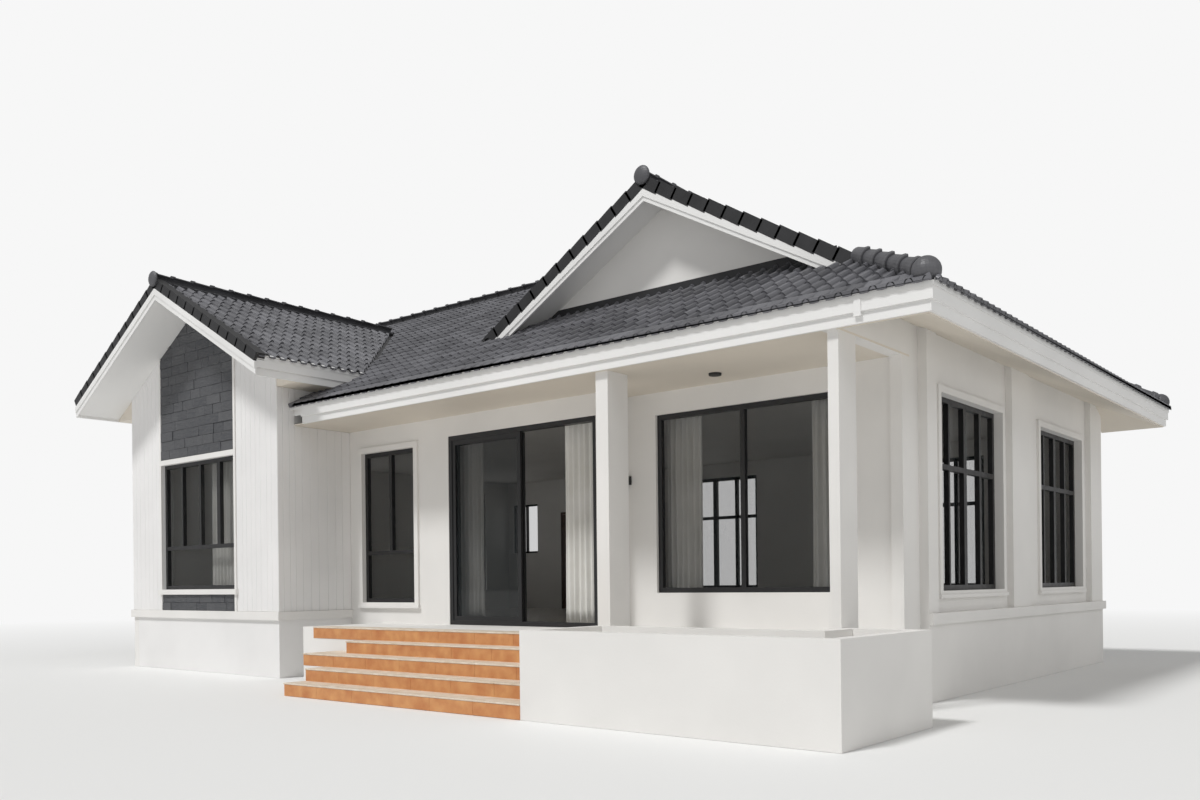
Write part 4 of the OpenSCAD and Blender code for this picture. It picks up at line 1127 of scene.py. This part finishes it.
low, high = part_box("back_door")
door_low, door_high = low - HOUSE, high - HOUSE
lever_x = door_high.x - LEVER_IN
lever = bmesh.new()
box_between(
    lever,
    (lever_x - PLATE_HALF_W, DOOR_OUT_Y - 0.001, LEVER_Z - PLATE_HALF_H),
    (lever_x + PLATE_HALF_W, DOOR_OUT_Y + PLATE_T, LEVER_Z + PLATE_HALF_H),
    LEVER_EDGE,
)
box_between(
    lever,
    (lever_x - LEVER_HALF, DOOR_OUT_Y, LEVER_Z - LEVER_HALF),
    (lever_x + LEVER_HALF, DOOR_OUT_Y + LEVER_FAR, LEVER_Z + LEVER_HALF),
    LEVER_EDGE,
)
box_between(
    lever,
    (lever_x - LEVER_LONG, DOOR_OUT_Y + LEVER_NEAR, LEVER_Z - LEVER_HALF),
    (lever_x + LEVER_HALF, DOOR_OUT_Y + LEVER_FAR, LEVER_Z + LEVER_HALF),
    GRIP_EDGE,
)
piece("back_door_lever", lever, lamp_black, body="back_door_leaf")

planks = bmesh.new()
wide = (door_high.x - door_low.x - HINGE_STILE) / PLANKS
for n in range(PLANKS):
    x0 = door_low.x + HINGE_STILE + n * wide
    plank_low = (x0 + PLANK_GAP, DOOR_OUT_Y - PLANK_SINK, PLANK_LOW)
    plank_high = (x0 + wide - PLANK_GAP, DOOR_OUT_Y + PLANK_OUT, PLANK_HIGH)
    box_between(planks, plank_low, plank_high, PLANK_EDGE)
piece("back_door_planks", planks, dark_wood, body="back_door_leaf")

# Tone of the backdrop, which the floor takes far from the house
BACKDROP = 0.93
# Strength of the same white as a light
AIR_LIGHT = 0.4
# Distances from the house over which the floor takes the backdrop's tone
FADE_NEAR, FADE_FAR = 11, 34


def stage_plane(name, size, height, colour):
    """A plain pale floor under the house that turns into the backdrop's tone far from it."""
    bm = bmesh.new()
    bmesh.ops.create_grid(bm, x_segments=1, y_segments=1, size=size)
    bmesh.ops.translate(bm, vec=(0, 0, height), verts=bm.verts)
    mesh = bpy.data.meshes.new(name)
    bm.to_mesh(mesh)
    bm.free()
    floor = Finish(name, colour, 0.9)
    x, y = floor.parts(floor.place())[:2]
    away = floor.span((x * x + y * y).power(0.5), FADE_NEAR, FADE_FAR)
    glow = floor.tree.nodes.new("ShaderNodeEmission")
    glow.inputs["Strength"].default_value = BACKDROP
    blend = floor.tree.nodes.new("ShaderNodeMixShader")
    floor.plug(blend.inputs[0], away)
    floor.tree.links.new(floor.shader.outputs[0], blend.inputs[1])
    floor.tree.links.new(glow.outputs[0], blend.inputs[2])
    floor.tree.links.new(blend.outputs[0], floor.tree.nodes["Material Output"].inputs["Surface"])
    mesh.materials.append(floor.material)
    made = bpy.data.objects.new(name, mesh)
    bpy.context.scene.collection.objects.link(made)


stage_plane("studio_floor", 150, -0.002, (0.80, 0.80, 0.79))

# White air: the backdrop's tone where the camera sees it, and a softer light elsewhere
scene = bpy.context.scene
world = bpy.data.worlds.new("studio")
scene.world = world
world.use_nodes = True
air = world.node_tree
background = air.nodes["Background"]
rays = air.nodes.new("ShaderNodeLightPath")
shown = air.nodes.new("ShaderNodeMath")
shown.operation = "MAXIMUM"
air.links.new(rays.outputs["Is Camera Ray"], shown.inputs[0])
air.links.new(rays.outputs["Is Transmission Ray"], shown.inputs[1])
strength = air.nodes.new("ShaderNodeMapRange")
strength.inputs["To Min"].default_value = AIR_LIGHT
strength.inputs["To Max"].default_value = BACKDROP
air.links.new(shown.outputs[0], strength.inputs["Value"])
air.links.new(strength.outputs[0], background.inputs["Strength"])
background.inputs["Color"].default_value = (1, 1, 1, 1)


def sun(name, azimuth, elevation, power, spread):
    """A distant soft lamp, by where it stands round the house."""
    lamp = bpy.data.lights.new(name, "SUN")
    lamp.energy = power
    lamp.angle = math.radians(spread)
    made = bpy.data.objects.new(name, lamp)
    a, e = math.radians(azimuth), math.radians(elevation)
    toward = Vector((math.sin(a) * math.cos(e), -math.cos(a) * math.cos(e), math.sin(e)))
    made.rotation_mode = "QUATERNION"
    made.rotation_quaternion = toward.to_track_quat("Z", "Y")
    scene.collection.objects.link(made)


sun("key", -12, 54, 2.0, 10)
sun("fill", 75, 35, 0.35, 40)

scene.view_settings.view_transform = "Standard"

# The camera stands at the front right corner, level, with the horizon low in the frame.
# Its focal length and shift are fitted in pixels of the 1200-pixel-wide picture.
SENSOR, WIDE, FOCAL, SHIFT = 36, 1200, 1043, 183.6
lens = bpy.data.cameras.new("camera")
lens.sensor_width = SENSOR
lens.lens = SENSOR * FOCAL / WIDE
lens.shift_y = SHIFT / WIDE
lens.clip_end = 400
camera = bpy.data.objects.new("camera", lens)
camera.location = (10.525, -12.5575, 1.29)
camera.rotation_euler = (math.radians(90), 0.011, 0.692)
camera.rotation_mode = "XYZ"
scene.collection.objects.link(camera)
scene.camera = camera
